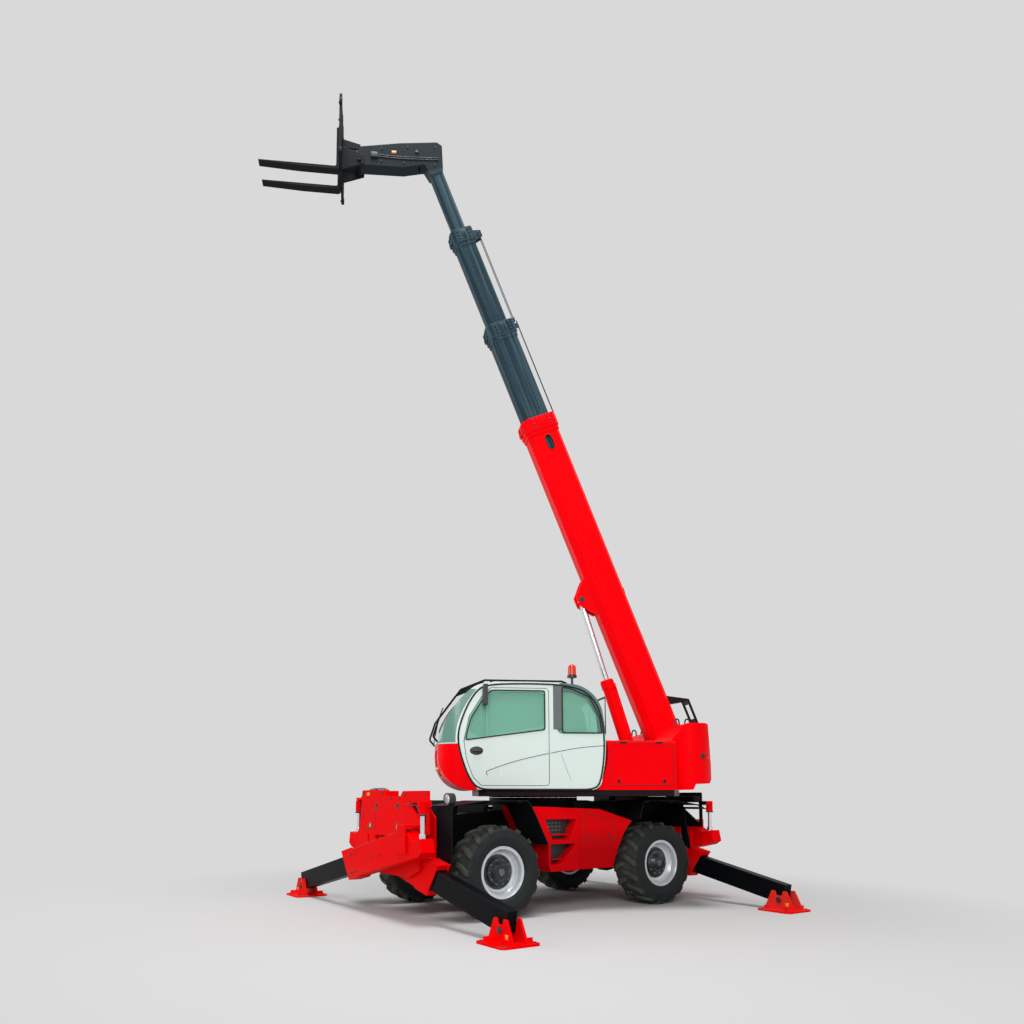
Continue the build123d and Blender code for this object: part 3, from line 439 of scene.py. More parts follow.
cab_white = white_finish("cab_white")
shell_white = white_finish("shell_white")
ahead, leftward, up = shell_white.local(turret_frame)
above_nose = shell_white.maths("SUBTRACT", up, 2.25)
nose_curve = shell_white.times(above_nose, above_nose, 0.62)
post_line = shell_white.maths("ADD", ahead, nose_curve)
wrapped_glass = shell_white.times(shell_white.ramp(post_line, 1.262, 1.268), shell_white.ramp(up, 2.212, 2.216),
                                  shell_white.ramp(up, 2.925, 2.915))
quarter_glass = shell_white.times(shell_white.ramp(leftward, 1.206, 1.208), shell_white.ramp(ahead, -0.125, -0.127),
                                  shell_white.ramp(up, 2.344, 2.346))
shell_white.lay(wrapped_glass, (0.11, 0.25, 0.20))
shell_white.lay(quarter_glass, (0.075, 0.16, 0.135))
cab_middle = turret_frame @ Vector((300, 745, 2350))
shell_white.lay(shell_white.facing_in(cab_middle), (0.045, 0.050, 0.052))
door_white = white_finish("door_white")
door_ahead, _, door_up = door_white.local(turret_frame)
sill_line = door_white.maths("ADD", door_up, door_white.times(door_ahead, 0.1377))
bonded_pane = door_white.times(door_white.ramp(sill_line, 2.394, 2.396), door_white.ramp(door_ahead, 0.071, 0.073),
                               door_white.ramp(door_up, 2.916, 2.914))
door_white.lay(bonded_pane, (0.16, 0.40, 0.29))
panel_grey = Paint("panel_grey", (0.10, 0.115, 0.12), 0.45, 0.1, 4.0)
seal_rubber = Paint("seal_rubber", (0.006, 0.008, 0.010), 0.5, 0.2, 10, 0.2, Specular_IOR_Level=0.3)
moulded_black = Paint("moulded_black", (0.016, 0.017, 0.019), 0.58, 0.2, 8.0, 0.35, 250)
bolt_steel = Paint("bolt_steel", (0.16, 0.165, 0.17), 0.38, 0.2, 30, 0.1, 300, Metallic=0.8)
dark_bolt = Paint("dark_bolt", (0.014, 0.015, 0.016), 0.5, 0.2, 30, 0.1, 300)
engine_iron = Paint("engine_iron", (0.07, 0.07, 0.075), 0.65, 0.2, 8.0, 0.4, 80)
rod_chrome = Paint("rod_chrome", (0.78, 0.80, 0.83), 0.13, 0.03, 4.0, 0.02, Metallic=1.0)
step_tread = Paint("step_tread", (0.035, 0.037, 0.040), 0.5, 0.2, 6.0, edge_colour=(0.25, 0.25, 0.26),
                   edge_amount=0.8, Metallic=0.5)
print("finishes so far", len(bpy.data.materials))

# %% [markdown]
# A wheel is silver paint on the ring and black oil-stained iron in its deep middle. Front and rear axles are
# symmetrical about the carrier's centre, so folding x about it gives one radius that suits all four wheels.
# The tyre uses the same radius: dark sidewalls, and a dusty grey-green on the lugs that meet the ground.

# %% Rim and tyre
half_wheelbase = 1.375
axle_height = 0.577


def wheel_radius(paint):
    """Distance from the nearer axle's line, as a socket."""
    x, _, z = paint.local(carrier_frame)
    out = paint.maths("SUBTRACT", paint.maths("ABSOLUTE", x), half_wheelbase)
    up = paint.maths("SUBTRACT", z, axle_height)
    squares = paint.maths("ADD", paint.times(out, out), paint.times(up, up))
    return paint.maths("SQRT", squares)


rim_silver = Paint("rim_silver", (0.62, 0.67, 0.70), 0.32, 0.08, 6.0, 0.1, Metallic=0.25, Coat_Weight=0.2)
rim_radius = wheel_radius(rim_silver)
rim_silver.lay(rim_silver.ramp(rim_radius, 0.222, 0.212), (0.012, 0.014, 0.016))
rim_grime = rim_silver.times(rim_silver.ramp(rim_silver.cloud, 0.5, 0.8), 0.35)
rim_silver.lay(rim_grime, (0.20, 0.22, 0.23))

tyre_rubber = Paint("tyre_rubber", (0.013, 0.016, 0.016), 0.75, 0.3, 5.0, 0.6, 90, Specular_IOR_Level=0.25)
tyre_span = wheel_radius(tyre_rubber)
dusty = tyre_rubber.times(tyre_rubber.ramp(tyre_span, 0.515, 0.575, 0.0, 0.9),
                          tyre_rubber.ramp(tyre_rubber.cloud, 0.3, 0.62, 0.45, 1.0))
tyre_rubber.lay(dusty, (0.085, 0.096, 0.076))
print("wheel finishes", rim_silver.material.name, tyre_rubber.material.name)

# %% [markdown]
# Lamps share one solid: the lamps below the fenders' height at the front are amber, those behind are red, and the
# round headlamps on top are clear.

# %% Lamps
lamp_glass = Paint("lamp_glass", (0.72, 0.75, 0.72), 0.1, 0.08, 25, 0.02, edge_colour=(0.25, 0.26, 0.27),
                   Coat_Weight=0.6)
lamp_place = lamp_glass.local(carrier_frame)
below = lamp_glass.ramp(lamp_place[2], 1.36, 1.35)
lamp_glass.lay(below, (0.85, 0.22, 0.01))
behind = lamp_glass.times(below, lamp_glass.ramp(lamp_place[0], -1.0, -1.1))
lamp_glass.lay(behind, (0.45, 0.005, 0.008))
amber_lens = Paint("amber_lens", (0.85, 0.25, 0.015), 0.15, 0.1, 30, 0.02, Coat_Weight=0.5)
print("lamp finishes", lamp_glass.material.name, amber_lens.material.name)

# %% [markdown]
# Tinted safety glass is a thin closed slab here, so the light passes two faces of each pane. Half of its face
# scatters the light in the tint's own sea green, as sun film does, and the rest lets the cab's inside show.

# %% Cab glass
cab_glass = bpy.data.materials.new("cab_glass")
cab_glass.use_nodes = True
glass_tree = cab_glass.node_tree
glass = glass_tree.nodes["Principled BSDF"]
glass_place = glass_tree.nodes.new("ShaderNodeTexCoord")
glass_cloud = glass_tree.nodes.new("ShaderNodeTexNoise")
glass_cloud.inputs["Scale"].default_value = 2.0
glass_tint = glass_tree.nodes.new("ShaderNodeMixRGB")
glass_tint.inputs["Color1"].default_value = (0.28, 0.62, 0.47, 1)
glass_tint.inputs["Color2"].default_value = (0.32, 0.66, 0.51, 1)
link(glass_tree, glass_place.outputs["Object"], glass_cloud.inputs["Vector"])
link(glass_tree, glass_cloud.outputs["Fac"], glass_tint.inputs["Fac"])
link(glass_tree, glass_tint.outputs["Color"], glass.inputs["Base Color"])
glass.inputs["Roughness"].default_value = 0.02
glass.inputs["Transmission Weight"].default_value = 0.5
glass.inputs["IOR"].default_value = 1.3
print("glass faces per pane", 2)

# %% [markdown]
# ## Paint the solids
# A solid whose shape is right keeps its mesh, and only its material slot changes. The record names each solid's
# paint, and the few two-tone or dustier ones are named here.

# %% Assign the finishes
slot_finish = {
    "red_paint": red_paint, "black_paint": black_paint, "boom_grey": boom_grey, "cab_paint": cab_white,
    "tyre_rubber": tyre_rubber, "rim_silver": rim_silver, "rod_chrome": rod_chrome, "lamp_glass": lamp_glass,
    "beacon_orange": beacon_dome, "interior_plastic": moulded_black, "trim_plastic": moulded_black,
    "engine": engine_iron,
}
own_finish = {
    "front_module": carrier_red, "rear_module": rear_module_red, "cab_shell": shell_white, "cab_door": door_white,
    "side_box_left": box_red, "side_box_right": box_red, "turret_base": turret_red, "boom_outer": boom_red,
}
part_slots = {part["node"]: part["material_slot"] for part in frame["record"]["subparts"]}
for node, solid in nodes.items():
    if part_slots[node] == "cab_glass":
        chosen = cab_glass
    elif node in own_finish:
        chosen = own_finish[node].material
    elif "stabiliser_beam" in node:
        chosen = beam_black.material
    elif "stabiliser_housing" in node or "stabiliser_foot" in node:
        chosen = carrier_red.material
    else:
        chosen = slot_finish[part_slots[node]].material
    for place_in_list in range(len(solid.material_slots)):
        solid.material_slots[place_in_list].material = chosen
print("painted", len(part_slots), "solids")

# %% [markdown]
# ## Modelling helpers
# New pieces start from bmesh operators in millimetres, in one of the three frames, and are settled into the
# machine at the end: moved to their place, their normals made to face out, sharp corners kept and soft ones
# smoothed, then tied to the body that carries them.

# %% Settle a piece on its body


def settle(name, form, paint, body, local_frame=carrier_frame, soft_angle=32):
    """Turn a form in local millimetres into a finished piece that rides on a body."""
    bmesh.ops.remove_doubles(form, verts=form.verts, dist=0.01)
    bmesh.ops.transform(form, matrix=local_frame, verts=form.verts)
    bmesh.ops.recalc_face_normals(form, faces=form.faces)
    mesh = bpy.data.meshes.new(name)
    form.to_mesh(mesh)
    form.free()
    mesh.shade_smooth()
    mesh.set_sharp_from_angle(angle=radians(soft_angle))
    mesh.materials.append(paint.material if isinstance(paint, Paint) else paint)
    piece = bpy.data.objects.new(name, mesh)
    bpy.context.collection.objects.link(piece)
    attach(piece, body)
    return piece


def side_view(y):
    """Plane seen from the machine's left: first number forward, second up, thickness towards the right."""
    return Matrix(((1, 0, 0, 0), (0, 0, -1, y), (0, 1, 0, 0), (0, 0, 0, 1)))


def front_view(x):
    """Plane seen from ahead: first number to the left, second up, thickness forward."""
    return Matrix(((0, 0, 1, x), (1, 0, 0, 0), (0, 1, 0, 0), (0, 0, 0, 1)))


def top_view(z):
    """Plane seen from above: first number forward, second to the left, thickness up."""
    return Matrix.Translation((0, 0, z))


print("views", side_view(0) @ Vector((1, 2, 3)), front_view(0) @ Vector((1, 2, 3)))

# %% [markdown]
# Six starting shapes cover nearly all the fittings: a block with its edges rounded, a rod between two points, a
# plate cut to an outline, a flat ring inside one, a tube along a route, and a hexagon bolt on its washer.

# %% Starting shapes


def thickened(flat, thickness):
    """Extrude a flat form upwards; give back its new points and the edges round its new faces."""
    grown = bmesh.ops.extrude_face_region(flat, geom=flat.faces[:])["geom"]
    front = [part for part in grown if isinstance(part, bmesh.types.BMVert)]
    bmesh.ops.translate(flat, verts=front, vec=(0, 0, thickness))
    return front, {edge for face in grown if isinstance(face, bmesh.types.BMFace) for edge in face.edges}


def rounded(form, edges, radius, segments=2):
    """Round a set of edges."""
    bmesh.ops.bevel(form, geom=list(edges), offset=radius, affect="EDGES", segments=segments, profile=0.5,
                    material=-1, clamp_overlap=True)


def block(form, low, high, radius=3):
    """Box between two corners with rounded edges."""
    low, high = Vector(low), Vector(high)
    place = Matrix.Translation((low + high) / 2) @ Matrix.Diagonal((*(high - low), 1))
    made = bmesh.ops.create_cube(form, size=1, matrix=place)
    if radius:
        rounded(form, {edge for vert in made["verts"] for edge in vert.link_edges}, radius)


def rod(form, start, end, radius, sides=20, far_radius=None, chamfer=0):
    """Round bar, tapered bar or hexagon between two points."""
    start, end = Vector(start), Vector(end)
    turn = (end - start).to_track_quat("Z", "Y").to_matrix().to_4x4()
    tip = radius if far_radius is None else far_radius
    made = bmesh.ops.create_cone(form, cap_ends=True, segments=sides, radius1=radius, radius2=tip,
                                 depth=(end - start).length, matrix=Matrix.Translation((start + end) / 2) @ turn)
    if chamfer:
        caps = {face for vert in made["verts"] for face in vert.link_faces if len(face.verts) == sides}
        rounded(form, {edge for face in caps for edge in face.edges}, chamfer, 1)


def flat_face(outline, corner=0):
    """New form that holds one flat face, its corners rounded."""
    flat = bmesh.new()
    verts = [flat.verts.new((*point, 0)) for point in outline]
    flat.faces.new(verts)
    if corner:
        bmesh.ops.bevel(flat, geom=verts, offset=corner, affect="VERTICES", segments=5, profile=0.5, material=-1)
    return flat


def join(form, extra, view):
    """Take a small form to its view plane and join it to the piece."""
    bmesh.ops.transform(extra, matrix=view, verts=extra.verts)
    passing = bpy.data.meshes.new("passing")
    extra.to_mesh(passing)
    extra.free()
    form.from_mesh(passing)
    bpy.data.meshes.remove(passing)


def plate(form, view, outline, thickness, radius=2, corner=0):
    """Plate cut to an outline on a view plane, with rounded corners and front edges."""
    flat = flat_face(outline, corner)
    _, front_edges = thickened(flat, thickness)
    if radius:
        rounded(flat, front_edges, radius)
    join(form, flat, view)


def ring(form, view, outline, corner, width, thickness):
    """Flat ring that runs inside an outline, as a window's rubber does."""
    flat = flat_face(outline, corner)
    middle = flat.faces[:]
    bmesh.ops.inset_region(flat, faces=middle, thickness=width, use_boundary=True, use_even_offset=True)
    bmesh.ops.delete(flat, geom=middle, context="FACES")
    bmesh.ops.solidify(flat, geom=flat.faces[:], thickness=thickness)
    join(form, flat, view)


def tube(form, route, radius, closed=False):
    """Round bar that follows a smooth route."""
    curve = bpy.data.curves.new("route", "CURVE")
    curve.dimensions = "3D"
    line = curve.splines.new("NURBS")
    line.points.add(len(route) - 1)
    for point, spot in zip(line.points, route):
        point.co = (*spot, 1)
    line.use_cyclic_u = closed
    line.use_endpoint_u = not closed
    line.order_u = 3
    line.resolution_u = 6
    curve.bevel_depth = radius
    curve.bevel_resolution = 2
    curve.use_fill_caps = not closed
    holder = bpy.data.objects.new("route", curve)
    passing = bpy.data.meshes.new_from_object(holder)
    form.from_mesh(passing)
    bpy.data.objects.remove(holder)
    bpy.data.curves.remove(curve)
    bpy.data.meshes.remove(passing)


def bolt(form, spot, direction, size):
    """Hexagon head on a round washer; the size is half the head's width."""
    spot, direction = Vector(spot), Vector(direction).normalized()
    rod(form, spot - direction * size * 0.2, spot + direction * size * 0.25, size * 1.35, 16)
    rod(form, spot, spot + direction * size * 1.05, size * 1.12, 6, chamfer=size * 0.14)


print("helpers ready")

# %% [markdown]
# ## Tyres
# An off-road tyre is a rounded casing with deep bars that lean backwards from the middle to the shoulder, in two
# staggered rows. One bar is cut flat as an outline, thickened, rounded, cut into short lengths and then wrapped
# round the wheel, where it sinks into the casing. Sixteen turned copies make a row and a mirrored one the other.
# The casing is spun from its section, with a bead, a rim guard and two thin rings on the wall.

# %% Tyre casing
tyre_section = [
    (-165, 300), (-168, 316), (-184, 326), (-205, 346), (-212, 352), (-217, 372), (-223, 400), (-225, 404),
    (-227, 430), (-226, 455), (-224, 459), (-222, 480), (-215, 508), (-200, 530), (-170, 541), (-80, 545), (0, 546),
]


def spun(section, steps, closed=False):
    """New form spun about the y axis from (y, radius) points."""
    turned = bmesh.new()
    verts = [turned.verts.new((radius, y, 0)) for y, radius in section]
    edges = [turned.edges.new(pair) for pair in zip(verts, verts[1:])]
    if closed:
        edges.append(turned.edges.new((verts[-1], verts[0])))
    bmesh.ops.spin(turned, geom=verts + edges, cent=(0, 0, 0), axis=(0, 1, 0), angle=2 * pi, steps=steps,
                   use_merge=True, use_duplicate=False)
    bmesh.ops.remove_doubles(turned, verts=turned.verts, dist=0.01)
    return turned


def tyre_casing():
    """Casing from its half section and the mirror image of it."""
    other_half = [(-y, radius) for y, radius in reversed(tyre_section[:-1])]
    return spun(tyre_section + other_half, 96)


print("casing section points", 2 * len(tyre_section) - 1)

# %% Tyre bars
bar_outline = [(-30, -6), (30, -6), (60, 70), (112, 150), (158, 228), (74, 228), (38, 165), (-6, 96)]
bar_height = 46
bar_cuts = (40, 80, 120, 160, 190, 212)
tread_radius = 577
shoulder = 185
crown = 6


def tyre_bar(turn, mirrored):
    """One bar, wrapped round the wheel at an angle."""
    bar = flat_face(bar_outline, 6)
    top, top_edges = thickened(bar, bar_height)
    bmesh.ops.scale(bar, vec=(0.93, 0.99, 1), verts=top)
    rounded(bar, top_edges, 5)
    for cut in bar_cuts:
        bmesh.ops.bisect_plane(bar, geom=bar.verts[:] + bar.edges[:] + bar.faces[:], plane_co=(0, cut, 0),
                               plane_no=(0, 1, 0), dist=0.01)
    for vert in bar.verts:
        along, across, height = vert.co
        # The tread is crowned a little, and past the shoulder the bar folds down the wall.
        fold = max(0, across - shoulder)
        radius = tread_radius - bar_height + height - crown * (across / shoulder) ** 2 - fold * 1.15
        wide = across - fold * 0.10
        angle = along / tread_radius + turn
        vert.co = (radius * sin(angle), -wide if mirrored else wide, radius * cos(angle))
    return bar


one_bar = tyre_bar(0, False)
print("faces in one bar", len(one_bar.faces))
one_bar.free()

# %% Four tyres
lug_pitches = 16
wheels = [("front_left", 1), ("front_right", -1), ("rear_left", 1), ("rear_right", -1)]
for wheel_name, side in wheels:
    low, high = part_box("tyre_" + wheel_name)
    centre = (Vector(low) + Vector(high)) / 2
    tyre_form = tyre_casing()
    for row in (False, True):
        for pitch in range(lug_pitches):
            angle = 2 * pi * (pitch + (0 if row else 0.5)) / lug_pitches
            join(tyre_form, tyre_bar(angle, row), Matrix.Identity(4))
    # The bars point the same way on both sides, so a right wheel is the left one turned about the upright.
    turned_round = Matrix.Rotation(0 if side > 0 else pi, 4, "Z")
    tyre = settle("tyre_dressed_" + wheel_name, tyre_form, tyre_rubber, "wheel_" + wheel_name,
                  Matrix.Translation(centre) @ mm @ turned_round, 28)
    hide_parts("tyre_" + wheel_name)
print("triangles in a tyre", sum(len(face.vertices) - 2 for face in tyre.data.polygons))

# %% [markdown]
# The rim's solid keeps its shape. What it lacks is the ring of studs and nuts, the bolts of the hub's cover, the
# rolled flange and the valve, which are all small repeats about the wheel's own axis.

# %% Wheel nuts, hub bolts and flanges
nut_count, nut_circle = 10, 152
hub_bolt_count, hub_circle = 8, 106
for wheel_name, side in wheels:
    low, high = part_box("rim_" + wheel_name)
    centre = (Vector(low) + Vector(high)) / 2
    wheel_frame = Matrix.Translation(centre) @ mm @ Matrix.Diagonal((1, side, 1, 1))
    nuts = bmesh.new()
    for count in range(nut_count):
        angle = 2 * pi * (count + 0.5) / nut_count
        spot = Vector((nut_circle * sin(angle), 101, nut_circle * cos(angle)))
        bolt(nuts, spot, (0, 1, 0), 12)
        rod(nuts, spot, spot + Vector((0, 26, 0)), 6.5, 10)
    for count in range(hub_bolt_count):
        angle = 2 * pi * count / hub_bolt_count
        bolt(nuts, (hub_circle * sin(angle), 132, hub_circle * cos(angle)), (0, 1, 0), 6)
    rod(nuts, (0, 150, 0), (0, 158, 0), 44, 24, chamfer=3)
    settle("wheel_nuts_" + wheel_name, nuts, bolt_steel, "wheel_" + wheel_name, wheel_frame)
    flange = spun([(170, 322), (178, 326), (184, 322), (183, 312), (176, 306), (168, 308)], 72, closed=True)
    tube(flange, [(0, 108, 262), (0, 150, 268), (0, 168, 290)], 5)
    settle("rim_flange_" + wheel_name, flange, rim_silver, "wheel_" + wheel_name, wheel_frame)
print("wheels dressed", len(wheels))

# %% [markdown]
# ## Cab
# The cab's left side is a white panel whose whole rim is black rubber, from the windscreen post down behind the
# red nose, along the sill and up round the back to the roof. One smooth closed bead, half sunk in the panel's
# edge, gives that line. The door itself sits in a narrow dark gap.

# %% Rubber bead round the cab's side
cab_left_y = 1220


def on_side(route, sunk):
    """Points (forward, up) of the cab's left side, sunk a little into its panel."""
    return [(forward, cab_left_y - sunk, up) for forward, up in route]


cab_bead = bmesh.new()
bead_route = [
    (-610, 1606), (-300, 1604), (200, 1604), (700, 1604), (960, 1606), (1075, 1730), (1165, 1945), (1232, 2200),
    (1225, 2400), (1120, 2690), (985, 2905), (840, 2985), (270, 3004), (-270, 2988), (-560, 2868), (-702, 2580),
    (-733, 2170), (-682, 1760),
]
tube(cab_bead, on_side(bead_route, 2), 13, closed=True)
settle("cab_side_bead", cab_bead, seal_rubber, "turret", turret_frame)
print("bead points", len(bead_route))

# %% Rubber in the door gap and round the panes
door_outline = [(20, 1650), (930, 1650), (1040, 1765), (1125, 2000), (1160, 2240), (1090, 2560), (900, 2860),
                (800, 2945), (20, 2945)]
door_pane = [(71, 2385), (1136, 2240), (1128, 2330), (1066, 2550), (884, 2836), (786, 2916), (71, 2916)]
quarter_pane = [(-150, 2345), (-150, 2975), (-285, 2950), (-540, 2838), (-672, 2572), (-702, 2345)]
gap_rubber = bmesh.new()
ring(gap_rubber, side_view(cab_left_y - 10), door_outline, 40, 6, 8)
settle("door_gap_rubber", gap_rubber, seal_rubber, "turret", turret_frame)
door_rubber = bmesh.new()
ring(door_rubber, side_view(cab_left_y + 3), door_pane, 40, 16, 6)
settle("door_pane_rubber", door_rubber, seal_rubber, "cab_door", turret_frame)
pane_rubber = bmesh.new()
ring(pane_rubber, side_view(cab_left_y + 3), quarter_pane, 40, 16, 6)
ring(pane_rubber, side_view(267), [(-514, 2318), (1014, 2318), (1014, 2892), (-514, 2892)], 48, 30, -7)
ring(pane_rubber, front_view(-768), [(345, 2320), (1145, 2320), (1145, 2860), (345, 2860)], 48, 26, 6)
settle("side_pane_rubber", pane_rubber, seal_rubber, "turret", turret_frame)
pillar = bmesh.new()
plate(pillar, side_view(cab_left_y + 3), [(-36, 2396), (-152, 2396), (-152, 2978), (-36, 2990)], 5, 1.5)
settle("rear_pillar_cover", pillar, panel_grey, "turret", turret_frame)

# %% [markdown]
# A pressed crease runs up and back across the door and on over the rear panel. A thin bead sunk to two thirds in
# the panel reads as that fold, and its dark grey is painted shade along the fold. The handle is a black oval cup
# with a bar across it, the size of a hand.

# %% Creases and door handle
door_crease = bmesh.new()
# Painted shade: the bead's dark grey stands for the shade along the door's crease.
tube(door_crease, on_side([(846, 1790), (880, 1830), (800, 1866), (560, 1950), (300, 2022), (32, 2078)], 2), 6)
settle("door_crease", door_crease, panel_grey, "cab_door", turret_frame)
rear_crease = bmesh.new()
# Painted shade: these dark grey beads stand for the shade along the rear panel's creases.
tube(rear_crease, on_side([(8, 2082), (-276, 2140), (-480, 2168), (-716, 2186)], 3), 6)
tube(rear_crease, on_side([(-140, 2075), (-190, 1900), (-270, 1724)], 3), 4)
settle("rear_panel_crease", rear_crease, panel_grey, "turret", turret_frame)

handle = bmesh.new()
bmesh.ops.create_uvsphere(handle, u_segments=28, v_segments=14, radius=1,
                          matrix=Matrix.Translation((990, cab_left_y + 1, 2108)) @ Matrix.Diagonal((88, 9, 56, 1)))
rod(handle, (925, cab_left_y + 16, 2105), (1042, cab_left_y + 16, 2105), 15, 16, chamfer=4)
rod(handle, (1012, cab_left_y + 2, 2068), (1012, cab_left_y + 12, 2068), 12, 16, chamfer=2)
settle("door_handle_cup", handle, moulded_black, "cab_door", turret_frame)
print("creases", 2)

# %% [markdown]
# Ahead of the windscreen sits the wiper, the nose carries a small amber lamp, and two rails run along the roof.

# %% Wiper, nose lamp and roof rails
wiper = bmesh.new()
rod(wiper, (1484, 560, 2210), (1502, 560, 2216), 18, 20, chamfer=3)
tube(wiper, [(1500, 560, 2216), (1496, 590, 2290), (1470, 690, 2480), (1446, 745, 2560)], 6)
tube(wiper, [(1494, 745, 2330), (1470, 745, 2470), (1438, 745, 2600), (1388, 745, 2720)], 8)
settle("windscreen_wiper", wiper, moulded_black, "turret", turret_frame)
nose_lamp = bmesh.new()
block(nose_lamp, (1432, 700, 1850), (1486, 800, 1905), 8)
settle("nose_lamp", nose_lamp, amber_lens, "turret", turret_frame)
rails = bmesh.new()
for rail_y in (330, 1160):
    tube(rails, [(-240, rail_y, 3014), (-235, rail_y, 3040), (-100, rail_y, 3046), (300, rail_y, 3054),
                 (680, rail_y, 3046), (792, rail_y, 3040), (800, rail_y, 3012)], 9)
settle("roof_rails", rails, black_paint, "turret", turret_frame)
print("nose lamp at", [round(v, 2) for v in turret_frame @ Vector((1459, 750, 1878))])

# %% [markdown]
# ## Boom
# Every collar holds the pads that the next section slides on, and the pads are set by screws: three pairs on each
# flank and two pairs underneath. They are the dark studs that make a collar look like a collar. The table gives
# each collar's section and tip along the boom, and the solids' own reach is printed beside it.

# %% Measure the boom's sections


def local_box(node, local_frame):
    """Lowest and highest corner of a solid in one of the machine's frames, in millimetres."""
    back = local_frame.inverted()
    spots = [back @ vert.co for vert in nodes[node].data.vertices]
    return [tuple(pick(spot[axis] for spot in spots) for axis in range(3)) for pick in (min, max)]


# Solid, body, half the width, half the height and the tip's distance along the boom.
collars = [("boom_outer", "boom", 190, 245, 5330), ("boom_stage_1", "stage_1", 157.5, 202.5, 6930),
           ("boom_stage_2", "stage_2", 120, 155, 8550)]
collar_lip = 24
for node, _, _, _, tip in collars:
    print(node, "reaches", [round(v) for v in local_box(node, boom_frame)[1]], "tip", tip)

# %% Collar screws and pad plates
for _, body, half_width, half_height, tip in collars:
    studs = bmesh.new()
    pads = bmesh.new()
    face_y = half_width + collar_lip
    face_z = half_height + collar_lip
    for side in (1, -1):
        for back in (155, 100, 45):
            for up in (-half_height * 0.45, half_height * 0.62):
                bolt(studs, (tip - back, side * face_y, up), (0, side, 0), 11)
        block(pads, (tip - 176, side * face_y - 2, -half_height * 0.20),
              (tip - 24, side * face_y + 4, half_height * 0.38), 2)
        for across in (-0.275 * face_y, 0.275 * face_y):
            pad_z = side * (half_height + 8)
            block(pads, (tip - 6, across - 34, pad_z - 12), (tip + 9, across + 34, pad_z + 12), 3)
    for across in (-0.55 * half_width, 0.55 * half_width):
        for back in (130, 60):
            bolt(studs, (tip - back, across, -face_z), (0, 0, -1), 12)
    settle("collar_screws_" + body, studs, dark_bolt, body, boom_frame)
    finish, slot = (boom_red, "red_paint") if body == "boom" else (boom_grey, "boom_grey")
    settle("collar_pads_" + body, pads, finish, body, boom_frame)
print("collars dressed", len(collars))

# %% [markdown]
# A boom section is two pressed channels welded along the flanks. The weld is a thin raised line for the whole
# length, and stiffening straps lie across the big section's back.

# %% Welds and stiffening straps
flank_y = 190.5
welds = bmesh.new()
for side in (1, -1):
    tube(welds, [(along, side * flank_y, -60) for along in (260, 2700, 5120)], 3)
    tube(welds, [(along, side * flank_y, 150) for along in (2830, 5120)], 2.5)
for along in (820, 1500, 2260, 3100, 4300):
    block(welds, (along, -120, 243), (along + 60, 120, 249), 2)
settle("boom_welds", welds, boom_red, "boom", boom_frame)
for outer, (_, body, half_width, half_height, tip) in zip(collars, collars[1:]):
    seam = bmesh.new()
    start, end = outer[4] + 25, tip - 262
    for side in (1, -1):
        for up in (half_height * 0.35, -half_height * 0.30):
            tube(seam, [(along, side * (half_width + 0.5), up) for along in (start, end)], 3)
    settle("section_seams_" + body, seam, boom_grey, body, boom_frame)
print("weld runs", 2 * 2 + 4)

# %% [markdown]
# Steel pipes carry the oil up the big section's back. They run in clips, so they are modelled as rigid tubes with
# saddle clips and unions, not as free hoses. The inspection slot near the tip gets a rubber rim.

# %% Boom pipes and slot rim
pipe_ys = (-92, -62)
pipe_z = 262
clip_spots = (760, 1320, 1900, 2560, 3300, 3950, 4600)
pipes = bmesh.new()
clips = bmesh.new()
for across in pipe_ys:
    tube(pipes, [(along, across, pipe_z) for along in (700, 1400, 3000, 4300, 4720)] + [(4760, across, 250)], 9)
for along in clip_spots:
    block(clips, (along, -112, 244), (along + 34, -42, 274), 5)
    bolt(clips, (along + 17, -77, 274), (0, 0, 1), 7)
for across in pipe_ys:
    rod(clips, (690, across, pipe_z), (742, across, pipe_z), 15, 6, chamfer=2)
settle("boom_pipes", pipes, black_paint, "boom", boom_frame)
settle("boom_pipe_clips", clips, moulded_black, "boom", boom_frame)

slot_rim = bmesh.new()
for side in (1, -1):
    rim_route = [(4820, 78), (4980, 78), (5030, 25), (4980, -28), (4820, -28), (4770, 25)]
    tube(slot_rim, [(along, side * 191, up) for along, up in rim_route], 6, closed=True)
settle("inspection_slot_rim", slot_rim, seal_rubber, "boom", boom_frame)
print("clips", len(clip_spots))

# %% [markdown]
# Pins are held by keeper plates: a flat bar let into the pin's end and held by two bolts. They sit on the pivot
# of the boom, both ends of the lift cylinder, and at the head.

# %% Keeper plates and pin heads


def keeper(form, spot, outward, radius, along=(1, 0, 0)):
    """Pin head with its keeper bar and two bolts."""
    spot, outward, along = Vector(spot), Vector(outward), Vector(along)
    rod(form, spot - outward * 4, spot + outward * 8, radius, 28, chamfer=2)
    across = along.normalized() * radius * 0.8
    sideways = outward.cross(along).normalized() * radius * 0.32
    middle = spot + sideways * 1.6 + outward * 9
    low = middle - across * 1.3 - sideways * 0.7
    high = middle + across * 1.3 + sideways * 0.7
    lowest, highest = (Vector(tuple(pick(pair) for pair in zip(low, high))) for pick in (min, max))
    margin = Vector((2, 3, 2))
    block(form, lowest - margin, highest + margin, 2)
    for reach in (-1, 1):
        bolt(form, middle + across * reach + outward * 3, outward, radius * 0.16)


